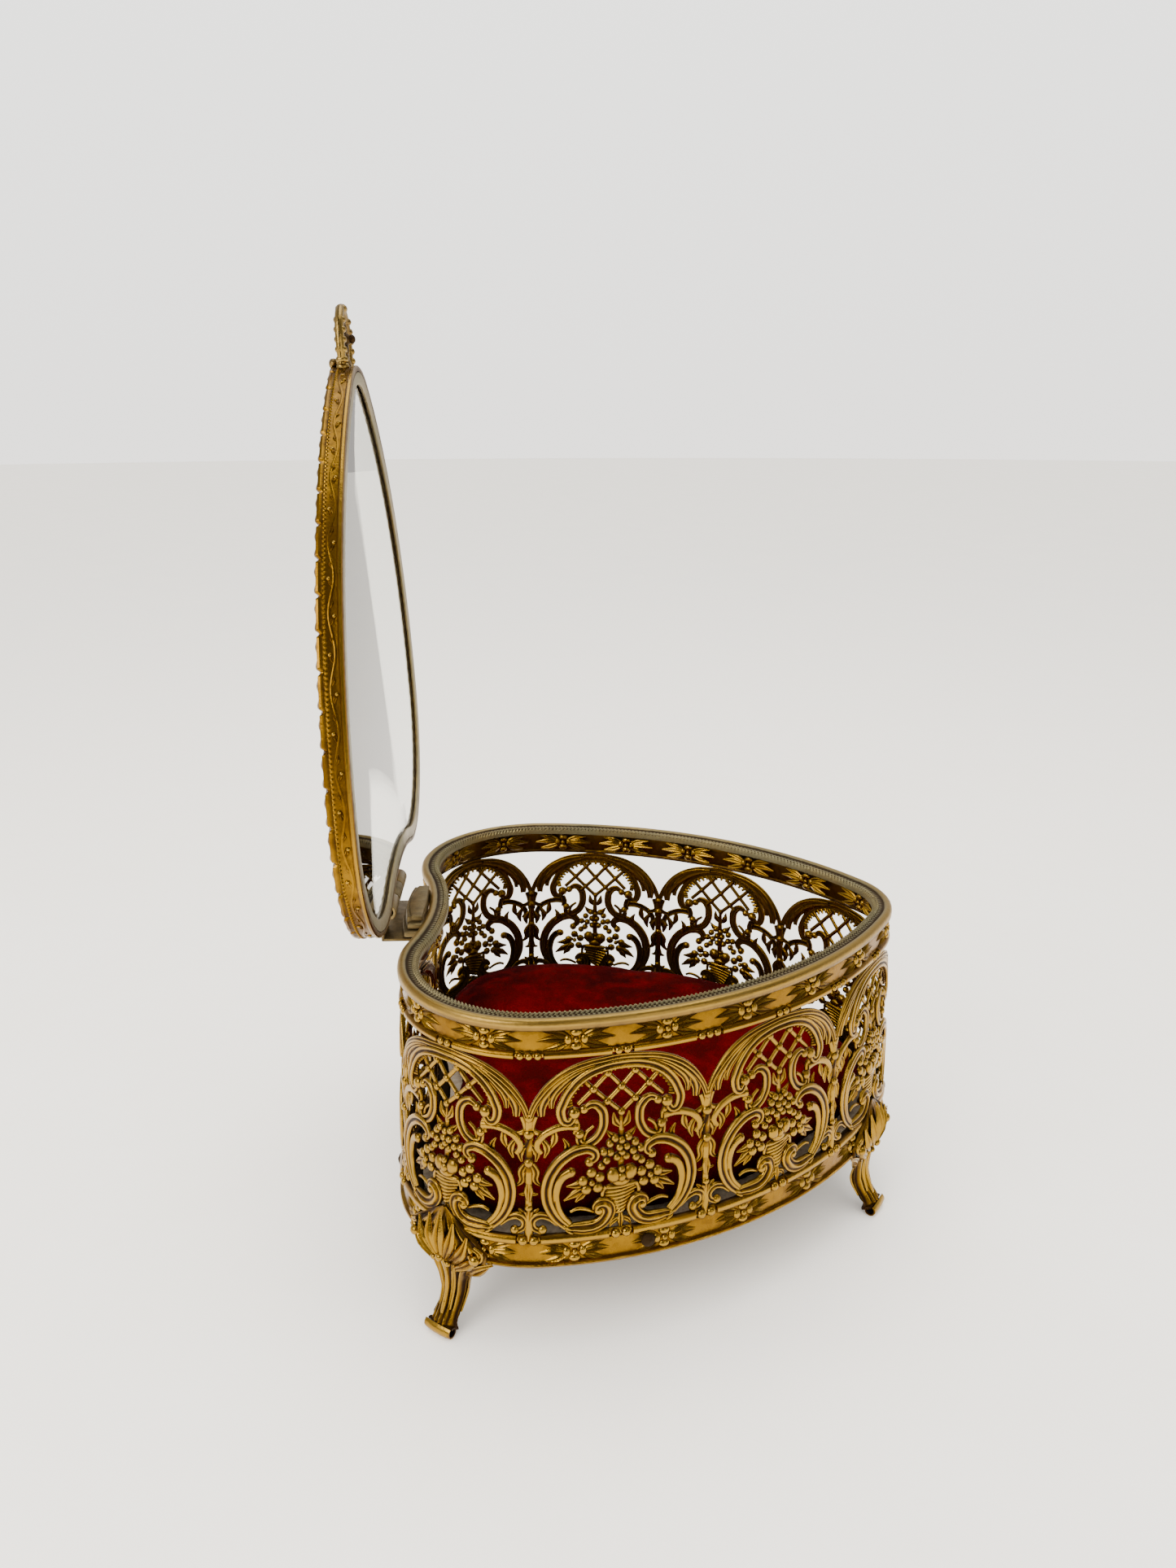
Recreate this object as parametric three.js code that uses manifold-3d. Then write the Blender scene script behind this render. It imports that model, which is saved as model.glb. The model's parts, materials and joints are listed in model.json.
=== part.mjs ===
// A heart-shaped trinket box: pierced brass sides on four leaf feet, a velvet pad inside,
// and a glass lid hinged at the cleft of the heart. The lid stands open on its stop.
//
// Frame: +Z up, the heart's point towards -Y, the hinge towards +Y. While the pieces are made,
// y = 0 is the point of the rim and z = 0 is the table; the last lines centre the group on the
// object's own box, so that the origin is the middle of the space it stands on.
import * as THREE from "three";
import { mergeVertices } from "three/addons/utils/BufferGeometryUtils.js";
import Module from "manifold-3d";

const wasm = await Module();
wasm.setup();

// ---------- Driving dimensions, millimetres ----------

// The heart in plan, drawn with tangent arcs.
const heartLength = 135; // from the point to the backs of the lobes
const tipRadius = 25.3; // the rounded point
const sideRadius = 115.3; // the long sides
const lobeRadius = 35.5; // the two lobes
const lobeSpread = 33.8; // from the middle line to a lobe's centre
const cleftRadius = 82.2; // the hollow between the lobes
const panelCount = 10; // pierced panels round the heart
const stepsPerPanel = 5; // facets along one panel

// Heights.
const footHeight = 23; // from the table to the lower edge of the side
const sideHeight = 65; // from there to the top of the rim
const flareOut = 2.5; // how far the side leans out at its foot
const rimHeight = 2.9;
const upperBandHeight = 7.2;
const lowerBandHeight = 8.7;

// Offsets from the rim's outer edge, inwards negative.
const rimWidth = 5.4;
const wallOuter = -0.2;
const wallThickness = 2.2;
const bandOuter = -0.5;
const gap = 0.3; // clearance between neighbouring pieces

// Floor and pad.
const panThickness = 0.8;
const panRise = 0.8; // floor of the pan above the lower edge of the side
const panFlange = 5.5;
const boardThickness = 2;
const padHeight = 17;
const padRounding = 6;
const coverThickness = 1;

// Rivets that hold the pan in the lower band.
const rivetPlaces = [0, 0.235, 0.43, 0.57, 0.765]; // shares of the way round, from the point
const rivetHeight = 4.4; // above the lower edge of the side
const rivetHeadRadius = 2.1;
const rivetHeadHeight = 1.1;
const rivetShankRadius = 0.9;

// Feet.
const footPlaces = { front_left: 0.95, front_right: 0.05, back_right: 0.35, back_left: 0.65 };
const leafRise = 12; // top of the leaf above the lower edge of the side
const footWingWidth = 24;
const footAnkleWidth = 7.5;
const footToeWidth = 9;
const footThickness = 1.5;
const toeReach = 3.9; // how far the curled toe stands out past the side's lower edge
const toeHeight = 3.6;

// Hinge.
const hingeBehindCleft = 9.5; // the pin, from the rim's edge in the hollow of the heart
const hingeAboveRim = 3.4;
const barrelRadius = 2.2;
const pinRadius = 1.0;
const barrelLength = 27;
const lidKnuckleLength = 9;
const leafThickness = 1;
const blockHeight = 5;
const blockAboveRim = 1.2;
const blockHalfWidth = 14;
const blockBackCurve = 1.2; // how far the block's back falls away at its ends
const lidPadWidth = 17; // the part of the lid's leaf that is soldered to the band
const lidPadLift = 1.7; // from the lid's underside up to the pad's lower edge

// Lid.
const openAngle = 92; // degrees from closed to the stop
const lidInset = 0.5; // the lid's edge inside the rim's edge
const lidBandThickness = 1.4;
const lidLip = 3; // the band's edge folded over the glass
const lidLipThickness = 0.8;
const glassThickness = 3.5;
const retainerWidth = 2.8;
const retainerThickness = 0.8;

// Lifting loop on the lid's point.
const pullReach = 14.5; // beyond the lid's point
const pullWidth = 14;
const pullThickness = 4;
const pullHole = 5;
const pullGrip = 3.4; // how far its foot lies over the lid's band
const pullGripThickness = 1.2;
const pullGripWidth = 9;
const pullRiser = 1.5; // thickness of the upright part outside the band

// ---------- Materials ----------

const metal = (color, roughness) => new THREE.MeshStandardMaterial({ color, roughness, metalness: 1 });
const gold = metal(0xb98a3a, 0.32);
const tarnished = metal(0x8f8258, 0.45);
const dark = metal(0x3f3a28, 0.5);
const velvet = new THREE.MeshStandardMaterial({ color: 0x7a0410, roughness: 0.95 });
const padding = new THREE.MeshStandardMaterial({ color: 0xe8e0d0, roughness: 1 });
const board = new THREE.MeshStandardMaterial({ color: 0x6b5a45, roughness: 0.9 });
const glass = new THREE.MeshStandardMaterial({
  color: 0xdfeee8, roughness: 0.05, transparent: true, opacity: 0.3,
});

// ---------- The heart's outline ----------

// Right half, from the point to the cleft, as arcs: centre, radius, first and last angle.
function heartArcs() {
  const tip = new THREE.Vector2(0, tipRadius);
  const lobe = new THREE.Vector2(lobeSpread, heartLength - lobeRadius);
  const toTip = sideRadius - tipRadius;
  const toLobe = sideRadius - lobeRadius;
  const apart = tip.distanceTo(lobe);
  const along = (toTip ** 2 - toLobe ** 2 + apart ** 2) / (2 * apart);
  const across = Math.sqrt(toTip ** 2 - along ** 2);
  const ahead = lobe.clone().sub(tip).normalize();
  const side = new THREE.Vector2(
    tip.x + ahead.x * along - ahead.y * across,
    tip.y + ahead.y * along + ahead.x * across,
  );
  const cleft = new THREE.Vector2(
    0,
    lobe.y + Math.sqrt((lobeRadius + cleftRadius) ** 2 - lobe.x ** 2),
  );
  const tipEnd = tip.clone().sub(side).angle() - 2 * Math.PI;
  const sideEnd = lobe.clone().sub(side).angle();
  const lobeEnd = cleft.clone().sub(lobe).angle();
  const lowEnd = sideEnd > Math.PI ? sideEnd - 2 * Math.PI : sideEnd;
  return [
    { centre: tip, radius: tipRadius, from: -Math.PI / 2, to: tipEnd, out: 1 },
    { centre: side, radius: sideRadius, from: tipEnd, to: lowEnd, out: 1 },
    { centre: lobe, radius: lobeRadius, from: lowEnd, to: lobeEnd, out: 1 },
    { centre: cleft, radius: cleftRadius, from: lobeEnd - Math.PI, to: -Math.PI / 2, out: -1 },
  ];
}

const arcs = heartArcs();
const arcLength = (arc) => arc.radius * Math.abs(arc.to - arc.from);
const halfWay = arcs.reduce((sum, arc) => sum + arcLength(arc), 0);
const wayRound = 2 * halfWay;
const cleftY = arcs[3].centre.y - cleftRadius;
const middleY = heartLength / 2;

// The point and outward direction at a distance round the heart, from its point.
function spot(distance) {
  const s = THREE.MathUtils.euclideanModulo(distance, wayRound);
  const mirrored = s > halfWay;
  let left = mirrored ? wayRound - s : s;
  let arc = arcs[0];
  for (arc of arcs) {
    if (left <= arcLength(arc) + 1e-9) break;
    left -= arcLength(arc);
  }
  const turn = arc.from + (left / arc.radius) * Math.sign(arc.to - arc.from);
  const ray = new THREE.Vector2(Math.cos(turn), Math.sin(turn));
  const point = arc.centre.clone().addScaledVector(ray, arc.radius);
  const normal = ray.multiplyScalar(arc.out);
  if (mirrored) {
    point.x = -point.x;
    normal.x = -normal.x;
  }
  return { point, normal };
}

function offsetPoint(distance, offset) {
  const { point, normal } = spot(distance);
  return point.addScaledVector(normal, offset);
}

const panelLength = wayRound / panelCount;
const step = panelLength / stepsPerPanel;

function outline(offset) {
  const stations = Array.from({ length: panelCount * stepsPerPanel }, (_, i) => i * step);
  return stations.map((s) => offsetPoint(s, offset));
}

// How far back the faceted outline reaches in the hollow between the lobes, at a distance x
// to the side of the middle line.
function hollowEdge(offset, x) {
  const points = outline(offset).filter((p) => p.y > middleY).sort((a, b) => a.x - b.x);
  const next = points.findIndex((p) => p.x >= x);
  const [low, high] = [points[next - 1], points[next]];
  return low.y + ((high.y - low.y) * (x - low.x)) / (high.x - low.x);
}

// ---------- Heights that follow from the dimensions ----------

const rimTop = footHeight + sideHeight;
const upperBandTop = rimTop - rimHeight - gap;
const upperBandBottom = rimTop - rimHeight - upperBandHeight;
const lowerBandTop = footHeight + lowerBandHeight;
const panelBottom = lowerBandTop + gap;
const panelTop = upperBandBottom - gap;
const wallInner = wallOuter - wallThickness;
const panOuter = wallInner - gap;
const panInner = panOuter - panThickness;
const panFloorTop = footHeight + panRise + panThickness;
const boardTop = panFloorTop + gap + boardThickness;
const padBottom = boardTop + gap;
const padOuter = panInner - gap;
const hingeY = cleftY + hingeBehindCleft;
const hingeZ = rimTop + hingeAboveRim;
const footTop = footHeight + leafRise;

// ---------- Making and joining solids ----------

const clean = (geometry) => {
  const bare = geometry.clone();
  bare.deleteAttribute("normal");
  bare.deleteAttribute("uv");
  return mergeVertices(bare, 1e-4);
};

function toSolid(geometry) {
  const merged = clean(geometry);
  const mesh = new wasm.Mesh({
    numProp: 3,
    vertProperties: merged.attributes.position.array,
    triVerts: new Uint32Array(merged.index.array),
  });
  return new wasm.Manifold(mesh);
}

function toGeometry(solid) {
  const mesh = solid.getMesh();
  const geometry = new THREE.BufferGeometry();
  geometry.setAttribute("position", new THREE.BufferAttribute(mesh.vertProperties, 3));
  geometry.setIndex(new THREE.BufferAttribute(mesh.triVerts, 1));
  geometry.computeVertexNormals();
  return geometry;
}

const cut = (geometry, ...tools) =>
  toGeometry(tools.reduce((solid, tool) => solid.subtract(toSolid(tool)), toSolid(geometry)));
const join = (geometry, ...others) =>
  toGeometry(others.reduce((solid, other) => solid.add(toSolid(other)), toSolid(geometry)));
const overlap = (a, b) => toGeometry(toSolid(a).intersect(toSolid(b)));

// A flat shape raised from one height to another.
function raise(points, bottom, top, holes = []) {
  const shape = new THREE.Shape(points);
  shape.holes = holes.map((hole) => new THREE.Path(hole));
  const geometry = new THREE.ExtrudeGeometry(shape, { depth: top - bottom, bevelEnabled: false });
  return geometry.translate(0, 0, bottom);
}

const heartRing = (outer, inner, bottom, top) => raise(outline(outer), bottom, top, [outline(inner)]);
const heartPlate = (outer, bottom, top) => raise(outline(outer), bottom, top);

// The lean of the sides: everything grows from the heart's middle as it goes down.
function flareAt(z) {
  return 1 + (flareOut / middleY) * ((rimTop - z) / sideHeight);
}

function flare(geometry) {
  const places = geometry.attributes.position;
  for (let i = 0; i < places.count; i++) {
    const growth = flareAt(places.getZ(i));
    places.setX(i, places.getX(i) * growth);
    places.setY(i, middleY + (places.getY(i) - middleY) * growth);
  }
  return geometry;
}

// A cylinder along X.
function rod(radius, length, sides = 16) {
  return new THREE.CylinderGeometry(radius, radius, length, sides).rotateZ(Math.PI / 2);
}

const box = (x, y, z) => new THREE.BoxGeometry(x, y, z);

// Turns a tool made in (along the side, up, outwards) to stand at a place round the heart.
function standAt(geometry, distance, z = 0) {
  const { point, normal } = spot(distance);
  const growth = flareAt(Math.max(z, footHeight));
  const along = new THREE.Vector3(-normal.y, normal.x, 0);
  const up = new THREE.Vector3(0, 0, 1);
  const out = new THREE.Vector3(normal.x, normal.y, 0);
  const frame = new THREE.Matrix4().makeBasis(along, up, out);
  frame.setPosition(point.x * growth, middleY + (point.y - middleY) * growth, z);
  return geometry.applyMatrix4(frame);
}

// ---------- The pierced sides ----------

// One panel laid flat: its arched outline and the openings of its pattern.
const panelHeight = panelTop - panelBottom;
const archSpring = 0.66 * panelHeight;

function diamond(x, y, halfWidth, halfHeight) {
  return [
    [x - halfWidth, y],
    [x, y - halfHeight],
    [x + halfWidth, y],
    [x, y + halfHeight],
  ];
}

function panelOpenings() {
  const w = panelLength / 2;
  const h = panelHeight;
  const lattice = [
    diamond(0, 0.87 * h, 0.15 * w, 0.075 * h),
    diamond(-0.2 * w, 0.77 * h, 0.15 * w, 0.075 * h),
    diamond(0.2 * w, 0.77 * h, 0.15 * w, 0.075 * h),
  ];
  const sideways = [-1, 1].flatMap((side) => [
    [[0.62, 0.3], [0.76, 0.14], [0.9, 0.3], [0.78, 0.5]],
    [[0.12, 0.05], [0.5, 0.1], [0.3, 0.28]],
  ].map((corners) => corners.map(([x, y]) => [side * x * w, y * h])));
  return [...lattice, ...sideways].map((hole) => hole.map(([x, y]) => new THREE.Vector2(x, y)));
}

function panelShape() {
  const halfWidth = (panelLength - gap) / 2;
  const rise = panelHeight - archSpring;
  const radius = (halfWidth ** 2 + rise ** 2) / (2 * rise);
  const reach = Math.asin(halfWidth / radius);
  const shape = new THREE.Shape();
  shape.moveTo(-halfWidth, 0);
  shape.lineTo(halfWidth, 0);
  shape.absarc(0, panelHeight - radius, radius, Math.PI / 2 - reach, Math.PI / 2 + reach, false);
  shape.closePath();
  shape.holes = panelOpenings().map((hole) => new THREE.Path(hole));
  return shape;
}

// Cuts one polygon at x = limit and keeps the part on the wanted side (+1 or -1) of it.
function keepSide(polygon, limit, side) {
  const kept = [];
  polygon.forEach((a, i) => {
    const b = polygon[(i + 1) % polygon.length];
    const da = side * (a.x - limit);
    const db = side * (b.x - limit);
    if (da >= 0) kept.push(a);
    if (da * db < 0) {
      const [low, high] = a.x < b.x ? [a, b] : [b, a];
      kept.push(low.clone().lerp(high, (limit - low.x) / (high.x - low.x)).setX(limit));
    }
  });
  return kept;
}

// Bends a flat strip (x along the side, y up, z outwards) round the heart from a distance on.
// The strip is cut into facets at the same stations as every ring, so that neighbours nest.
function bendRound(flat, start, bottom) {
  const places = flat.attributes.position;
  const corners = Array.from({ length: places.count }, (_, i) => {
    const corner = new THREE.Vector3().fromBufferAttribute(places, i);
    const station = Math.round(corner.x / step) * step;
    return Math.abs(corner.x - station) < 1e-3 ? corner.setX(station) : corner;
  });
  const bent = [];
  for (let k = 0; k < stepsPerPanel; k++) {
    const from = k * step;
    const place = ({ x, y, z }) => {
      const share = (x - from) / step;
      const a = offsetPoint(start + from, wallInner + z);
      const b = offsetPoint(start + from + step, wallInner + z);
      const p = a.lerp(b, share);
      return [p.x, p.y, bottom + y];
    };
    for (let i = 0; i < corners.length; i += 3) {
      const rough = keepSide(corners.slice(i, i + 3), from, 1);
      const facet = keepSide(rough, from + step, -1);
      for (let j = 2; j < facet.length; j++) {
        bent.push(...place(facet[0]), ...place(facet[j - 1]), ...place(facet[j]));
      }
    }
  }
  const geometry = new THREE.BufferGeometry();
  geometry.setAttribute("position", new THREE.Float32BufferAttribute(bent, 3));
  // meeting a far larger block changes nothing but merges the slivers left by the cutting
  const room = box(4 * heartLength, 4 * heartLength, 4 * sideHeight);
  return overlap(mergeVertices(geometry, 1e-3), room);
}

function galleryPanel(index) {
  const flat = new THREE.ExtrudeGeometry(panelShape(), {
    depth: wallThickness, bevelEnabled: false, curveSegments: 4,
  });
  flat.translate(panelLength / 2, 0, 0);
  return flare(bendRound(flat, index * panelLength, panelBottom));
}

const rivetHole = (place) => {
  const drill = new THREE.CylinderGeometry(rivetShankRadius + gap, rivetShankRadius + gap, 12, 10);
  return standAt(drill.rotateX(Math.PI / 2), place * wayRound, footHeight + rivetHeight);
};

function lowerBand() {
  const ring = flare(heartRing(wallOuter, wallInner, footHeight, lowerBandTop));
  return cut(ring, ...rivetPlaces.map(rivetHole));
}

function pan() {
  const bottom = footHeight + panRise;
  const body = flare(heartPlate(panOuter, bottom, bottom + panThickness + panFlange));
  const inside = flare(heartPlate(panInner, panFloorTop, bottom + panFlange + 2 * panThickness));
  return cut(body, inside, ...rivetPlaces.map(rivetHole));
}

function rivet(place) {
  const outside = wallOuter + 0.1;
  const inside = panInner - 2 * gap;
  const clench = 0.7;
  const profile = [
    [0, inside - clench],
    [1.5 * rivetShankRadius, inside - clench],
    [1.5 * rivetShankRadius, inside],
    [rivetShankRadius, inside],
    [rivetShankRadius, outside],
    [rivetHeadRadius, outside],
    [0.75 * rivetHeadRadius, outside + 0.7 * rivetHeadHeight],
    [0, outside + rivetHeadHeight],
  ].map(([r, y]) => new THREE.Vector2(r, y));
  const turned = new THREE.LatheGeometry(profile, 12).rotateX(Math.PI / 2);
  return standAt(turned, place * wayRound, footHeight + rivetHeight);
}

// ---------- The pad ----------

function padSolid(shrink, bevelSegments = 1) {
  const shape = new THREE.Shape(outline(padOuter - padRounding - shrink));
  const geometry = new THREE.ExtrudeGeometry(shape, {
    depth: padHeight - 2 * shrink - 2 * padRounding,
    bevelSize: padRounding,
    bevelThickness: padRounding,
    bevelSegments,
  });
  return geometry.translate(0, 0, padBottom + shrink + padRounding);
}

function velvetCover() {
  const openBelow = raise(outline(padOuter - 2 * padRounding), padBottom - 1, padBottom + padRounding);
  return cut(padSolid(0, 2), padSolid(coverThickness), openBelow);
}

// ---------- Feet ----------

// The foot from the side: x outwards from the side's lower edge, y up.
function footSideView() {
  const middle = new THREE.CatmullRomCurve3(
    [
      [1.3, footTop],
      [1.9, footHeight + leafRise / 2],
      [0.9, 0.96 * footHeight],
      [-1.0, 0.61 * footHeight],
      [-0.4, 0.3 * footHeight],
      [toeReach - 1.7, toeHeight],
    ].map(([x, y]) => new THREE.Vector3(x, y, 0)),
  );
  const steps = 12;
  const edge = (side) => Array.from({ length: steps + 1 }, (_, i) => {
    const p = middle.getPointAt(i / steps);
    const t = middle.getTangentAt(i / steps);
    return new THREE.Vector2(p.x - (t.y * side * footThickness) / 2, p.y + (t.x * side * footThickness) / 2);
  });
  // the toe curls down and back under the foot, with a flat sole; shares of its reach and height
  const toe = [
    [1, 0.72], [0.92, 0.25], [0.62, 0], [0.15, 0], [-0.13, 0.28], [-0.13, 0.67], [0.08, 0.89],
  ].map(([x, y]) => new THREE.Vector2(x * toeReach, y * toeHeight));
  return new THREE.Shape([...edge(1), ...toe, ...edge(-1).reverse()]);
}

// The foot from the front: a leaf with wings that narrows to the ankle and spreads at the toe.
function footFrontView() {
  const half = [
    [footToeWidth / 2, 0],
    [footToeWidth / 2, 0.72 * toeHeight],
    [footAnkleWidth / 2, 0.26 * footHeight],
    [footAnkleWidth / 2 + 0.8, 0.48 * footHeight],
    [footAnkleWidth / 2 + 2.4, 0.74 * footHeight],
    [0.4 * footWingWidth, 0.93 * footHeight],
    [footWingWidth / 2, footHeight + leafRise / 8],
    [0.42 * footWingWidth, footHeight + 0.42 * leafRise],
    [footWingWidth / 4, footHeight + 0.75 * leafRise],
    [footWingWidth / 12, footTop],
  ];
  const right = half.map(([x, y]) => new THREE.Vector2(x, y));
  const left = half.map(([x, y]) => new THREE.Vector2(-x, y)).reverse();
  return new THREE.Shape([...right, ...left]);
}

function foot(place) {
  const width = footWingWidth + 2; // a little past the leaf on both sides
  const deep = 2 * (toeReach + wallThickness); // past the leaf's front and back
  const fromSide = new THREE.ExtrudeGeometry(footSideView(), { depth: width, bevelEnabled: false });
  // side view x is outwards (z of the standing tool), y is up, and the extrusion runs along the side
  const swap = new THREE.Matrix4().makeBasis(
    new THREE.Vector3(0, 0, 1),
    new THREE.Vector3(0, 1, 0),
    new THREE.Vector3(-1, 0, 0),
  );
  fromSide.translate(0, 0, -width / 2).applyMatrix4(swap);
  const fromFront = new THREE.ExtrudeGeometry(footFrontView(), { depth: 2 * deep, bevelEnabled: false });
  fromFront.translate(0, 0, -deep);
  const leaf = overlap(fromSide, fromFront);
  const inner = flare(heartPlate(wallOuter + gap, footHeight - 0.2, footTop + 1));
  return cut(standAt(leaf, place * wayRound), inner);
}

// ---------- Hinge ----------

const atPin = (geometry) => geometry.translate(0, hingeY, hingeZ);
const bore = (length) => rod(pinRadius + gap, length, 12);
const outerKnuckle = (barrelLength - lidKnuckleLength) / 2 - gap;

// The soldered block that fills the cleft and carries the box's leaf.
function hingeBlock() {
  const back = hingeY - barrelRadius - gap;
  const inFront = outline(gap).filter((p) => Math.abs(p.x) < blockHalfWidth && p.y > middleY);
  inFront.sort((a, b) => a.x - b.x);
  const points = [...inFront.map((p) => p.clone()), ...[1, 0.5, -0.5, -1].map(
    (share) => new THREE.Vector2(share * blockHalfWidth, back - blockBackCurve * share ** 2),
  )];
  return raise(points, rimTop + blockAboveRim - blockHeight, rimTop + blockAboveRim);
}

function boxLeaf() {
  const length = barrelLength;
  const top = rimTop + blockAboveRim - blockHeight - gap;
  const reach = hingeY + barrelRadius - (cleftY + gap + 1);
  const plate = box(length, reach, leafThickness);
  plate.translate(0, hingeY + barrelRadius - reach / 2, top - leafThickness / 2);
  const rise = hingeZ - top + leafThickness;
  const backs = [-1, 1].flatMap((side) => {
    const x = side * (length / 2 - outerKnuckle / 2);
    const strap = box(outerKnuckle, leafThickness, rise);
    strap.translate(x, hingeY + barrelRadius - leafThickness / 2, hingeZ - rise / 2);
    return [strap, atPin(rod(barrelRadius, outerKnuckle).translate(x, 0, 0))];
  });
  return cut(join(plate, ...backs), atPin(bore(length + 2)));
}

const pin = () => atPin(rod(pinRadius, barrelLength - 2, 12));

// ---------- Lid, made closed and then opened about the pin ----------

const lidBottom = rimTop + gap;
const lidOuter = -lidInset;
const glassBottom = lidBottom + retainerThickness + gap;
const glassTop = glassBottom + glassThickness;
const lidTop = glassTop + gap + lidLipThickness;
const glassOuter = lidOuter - lidBandThickness - gap;

function lidBand() {
  const wall = heartRing(lidOuter, lidOuter - lidBandThickness, lidBottom, lidTop);
  const lip = heartRing(lidOuter - 0.2, lidOuter - lidBandThickness - lidLip, lidTop - lidLipThickness, lidTop);
  return join(wall, lip);
}

const retainer = () => heartRing(glassOuter, glassOuter - retainerWidth, lidBottom, lidBottom + retainerThickness);

const lidGlass = () => heartPlate(glassOuter, glassBottom, glassTop);

// The lid's leaf: the middle knuckle and a strap soldered to the back of the band.
function lidLeaf() {
  const width = lidKnuckleLength;
  const start = hollowEdge(lidOuter, lidPadWidth / 2) + gap;
  const strap = box(width, hingeY - start, leafThickness);
  strap.translate(0, (hingeY + start) / 2, hingeZ + barrelRadius - leafThickness / 2);
  const padTop = lidTop - gap;
  const padBottomZ = lidBottom + lidPadLift;
  const pad = box(lidPadWidth, leafThickness, padTop - padBottomZ);
  pad.translate(0, start + leafThickness / 2, (padTop + padBottomZ) / 2);
  const knuckle = atPin(rod(barrelRadius, width));
  return cut(join(strap, knuckle, pad), atPin(bore(width + 2)));
}

// The lifting loop: an arch with a hole, a boss, and beads down each side.
function pull() {
  const middle = (lidBottom + lidTop) / 2;
  const arch = new THREE.Shape();
  const half = pullWidth / 2;
  arch.moveTo(0.8 * half, 0);
  arch.lineTo(half, -0.35 * pullReach);
  arch.bezierCurveTo(half, -0.8 * pullReach, 0.35 * half, -pullReach, 0, -pullReach);
  arch.bezierCurveTo(-0.35 * half, -pullReach, -half, -0.8 * pullReach, -half, -0.35 * pullReach);
  arch.lineTo(-0.8 * half, 0);
  const body = new THREE.ExtrudeGeometry(arch, {
    depth: pullThickness, bevelEnabled: false, curveSegments: 6,
  });
  const hole = rod(pullHole / 2, 2 * pullThickness, 12).rotateY(Math.PI / 2);
  hole.translate(0, lidInset - 0.52 * pullReach, middle);
  body.translate(0, lidInset, middle - pullThickness / 2);
  const gripTop = lidTop + gap + pullGripThickness;
  const grip = box(pullGripWidth, pullGrip + pullRiser, pullGripThickness);
  grip.translate(0, lidInset + (pullGrip - pullRiser) / 2, gripTop - pullGripThickness / 2);
  const riser = box(pullGripWidth, pullRiser, gripTop - middle);
  riser.translate(0, lidInset - pullRiser / 2, (gripTop + middle) / 2);
  const clear = heartPlate(lidOuter + gap, lidBottom - 1, lidTop + gap);
  return cut(join(body, riser, grip), hole, clear);
}

// ---------- The assembly ----------

const group = new THREE.Group();

function add(parent, name, geometry, material) {
  const mesh = new THREE.Mesh(geometry, material);
  mesh.name = name;
  parent.add(mesh);
}

const casket = new THREE.Group();
add(casket, "rim_ring", heartRing(0, -rimWidth, rimTop - rimHeight, rimTop), tarnished);
add(casket, "upper_band", flare(heartRing(bandOuter, wallInner, upperBandBottom, upperBandTop)), gold);
for (let i = 0; i < panelCount; i++) {
  add(casket, `gallery_panel_${i + 1}`, galleryPanel(i), gold);
}
add(casket, "lower_band", lowerBand(), gold);
for (const [corner, place] of Object.entries(footPlaces)) {
  add(casket, `foot_${corner}`, foot(place), gold);
}
add(casket, "base_pan", pan(), dark);
rivetPlaces.forEach((place, i) => add(casket, `pan_rivet_${i + 1}`, rivet(place), dark));
add(casket, "cushion_board", heartPlate(panInner - gap, panFloorTop + gap, boardTop), board);
add(casket, "velvet_cover", velvetCover(), velvet);
add(casket, "cushion_filling", padSolid(coverThickness + gap), padding);
add(casket, "hinge_block", hingeBlock(), tarnished);
add(casket, "hinge_box_leaf", boxLeaf(), gold);
add(casket, "hinge_pin", pin(), dark);

const lid = new THREE.Group();
add(lid, "lid_band", lidBand(), gold);
add(lid, "lid_retainer", retainer(), tarnished);
add(lid, "lid_glass", lidGlass(), glass);
add(lid, "hinge_lid_leaf", lidLeaf(), tarnished);
add(lid, "lid_pull", pull(), gold);
for (const mesh of lid.children) mesh.geometry.translate(0, -hingeY, -hingeZ);
lid.position.set(0, hingeY, hingeZ);
lid.rotation.x = THREE.MathUtils.degToRad(-openAngle);

group.add(casket, lid);
const bounds = new THREE.Box3().setFromObject(group, true);
group.position.y = -(bounds.min.y + bounds.max.y) / 2;
const root = new THREE.Group();
root.add(group);

export default root;
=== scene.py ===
# %% [markdown]
# # A heart-shaped trinket box
# Stamped and pierced brass sides stand on four leaf feet, a velvet pad lies inside, and a
# bevelled glass lid stands open on its hinge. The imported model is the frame: every piece below
# goes where the frame says. Lengths are modelled in millimetres on a flat sheet and become
# metres when the sheet is bent round the heart, as the maker bent the stamped strip.

# %% Load the frame
import json
import math

import bpy
import numpy as np
from mathutils import Matrix, Vector, noise
from mathutils.bvhtree import BVHTree

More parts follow.
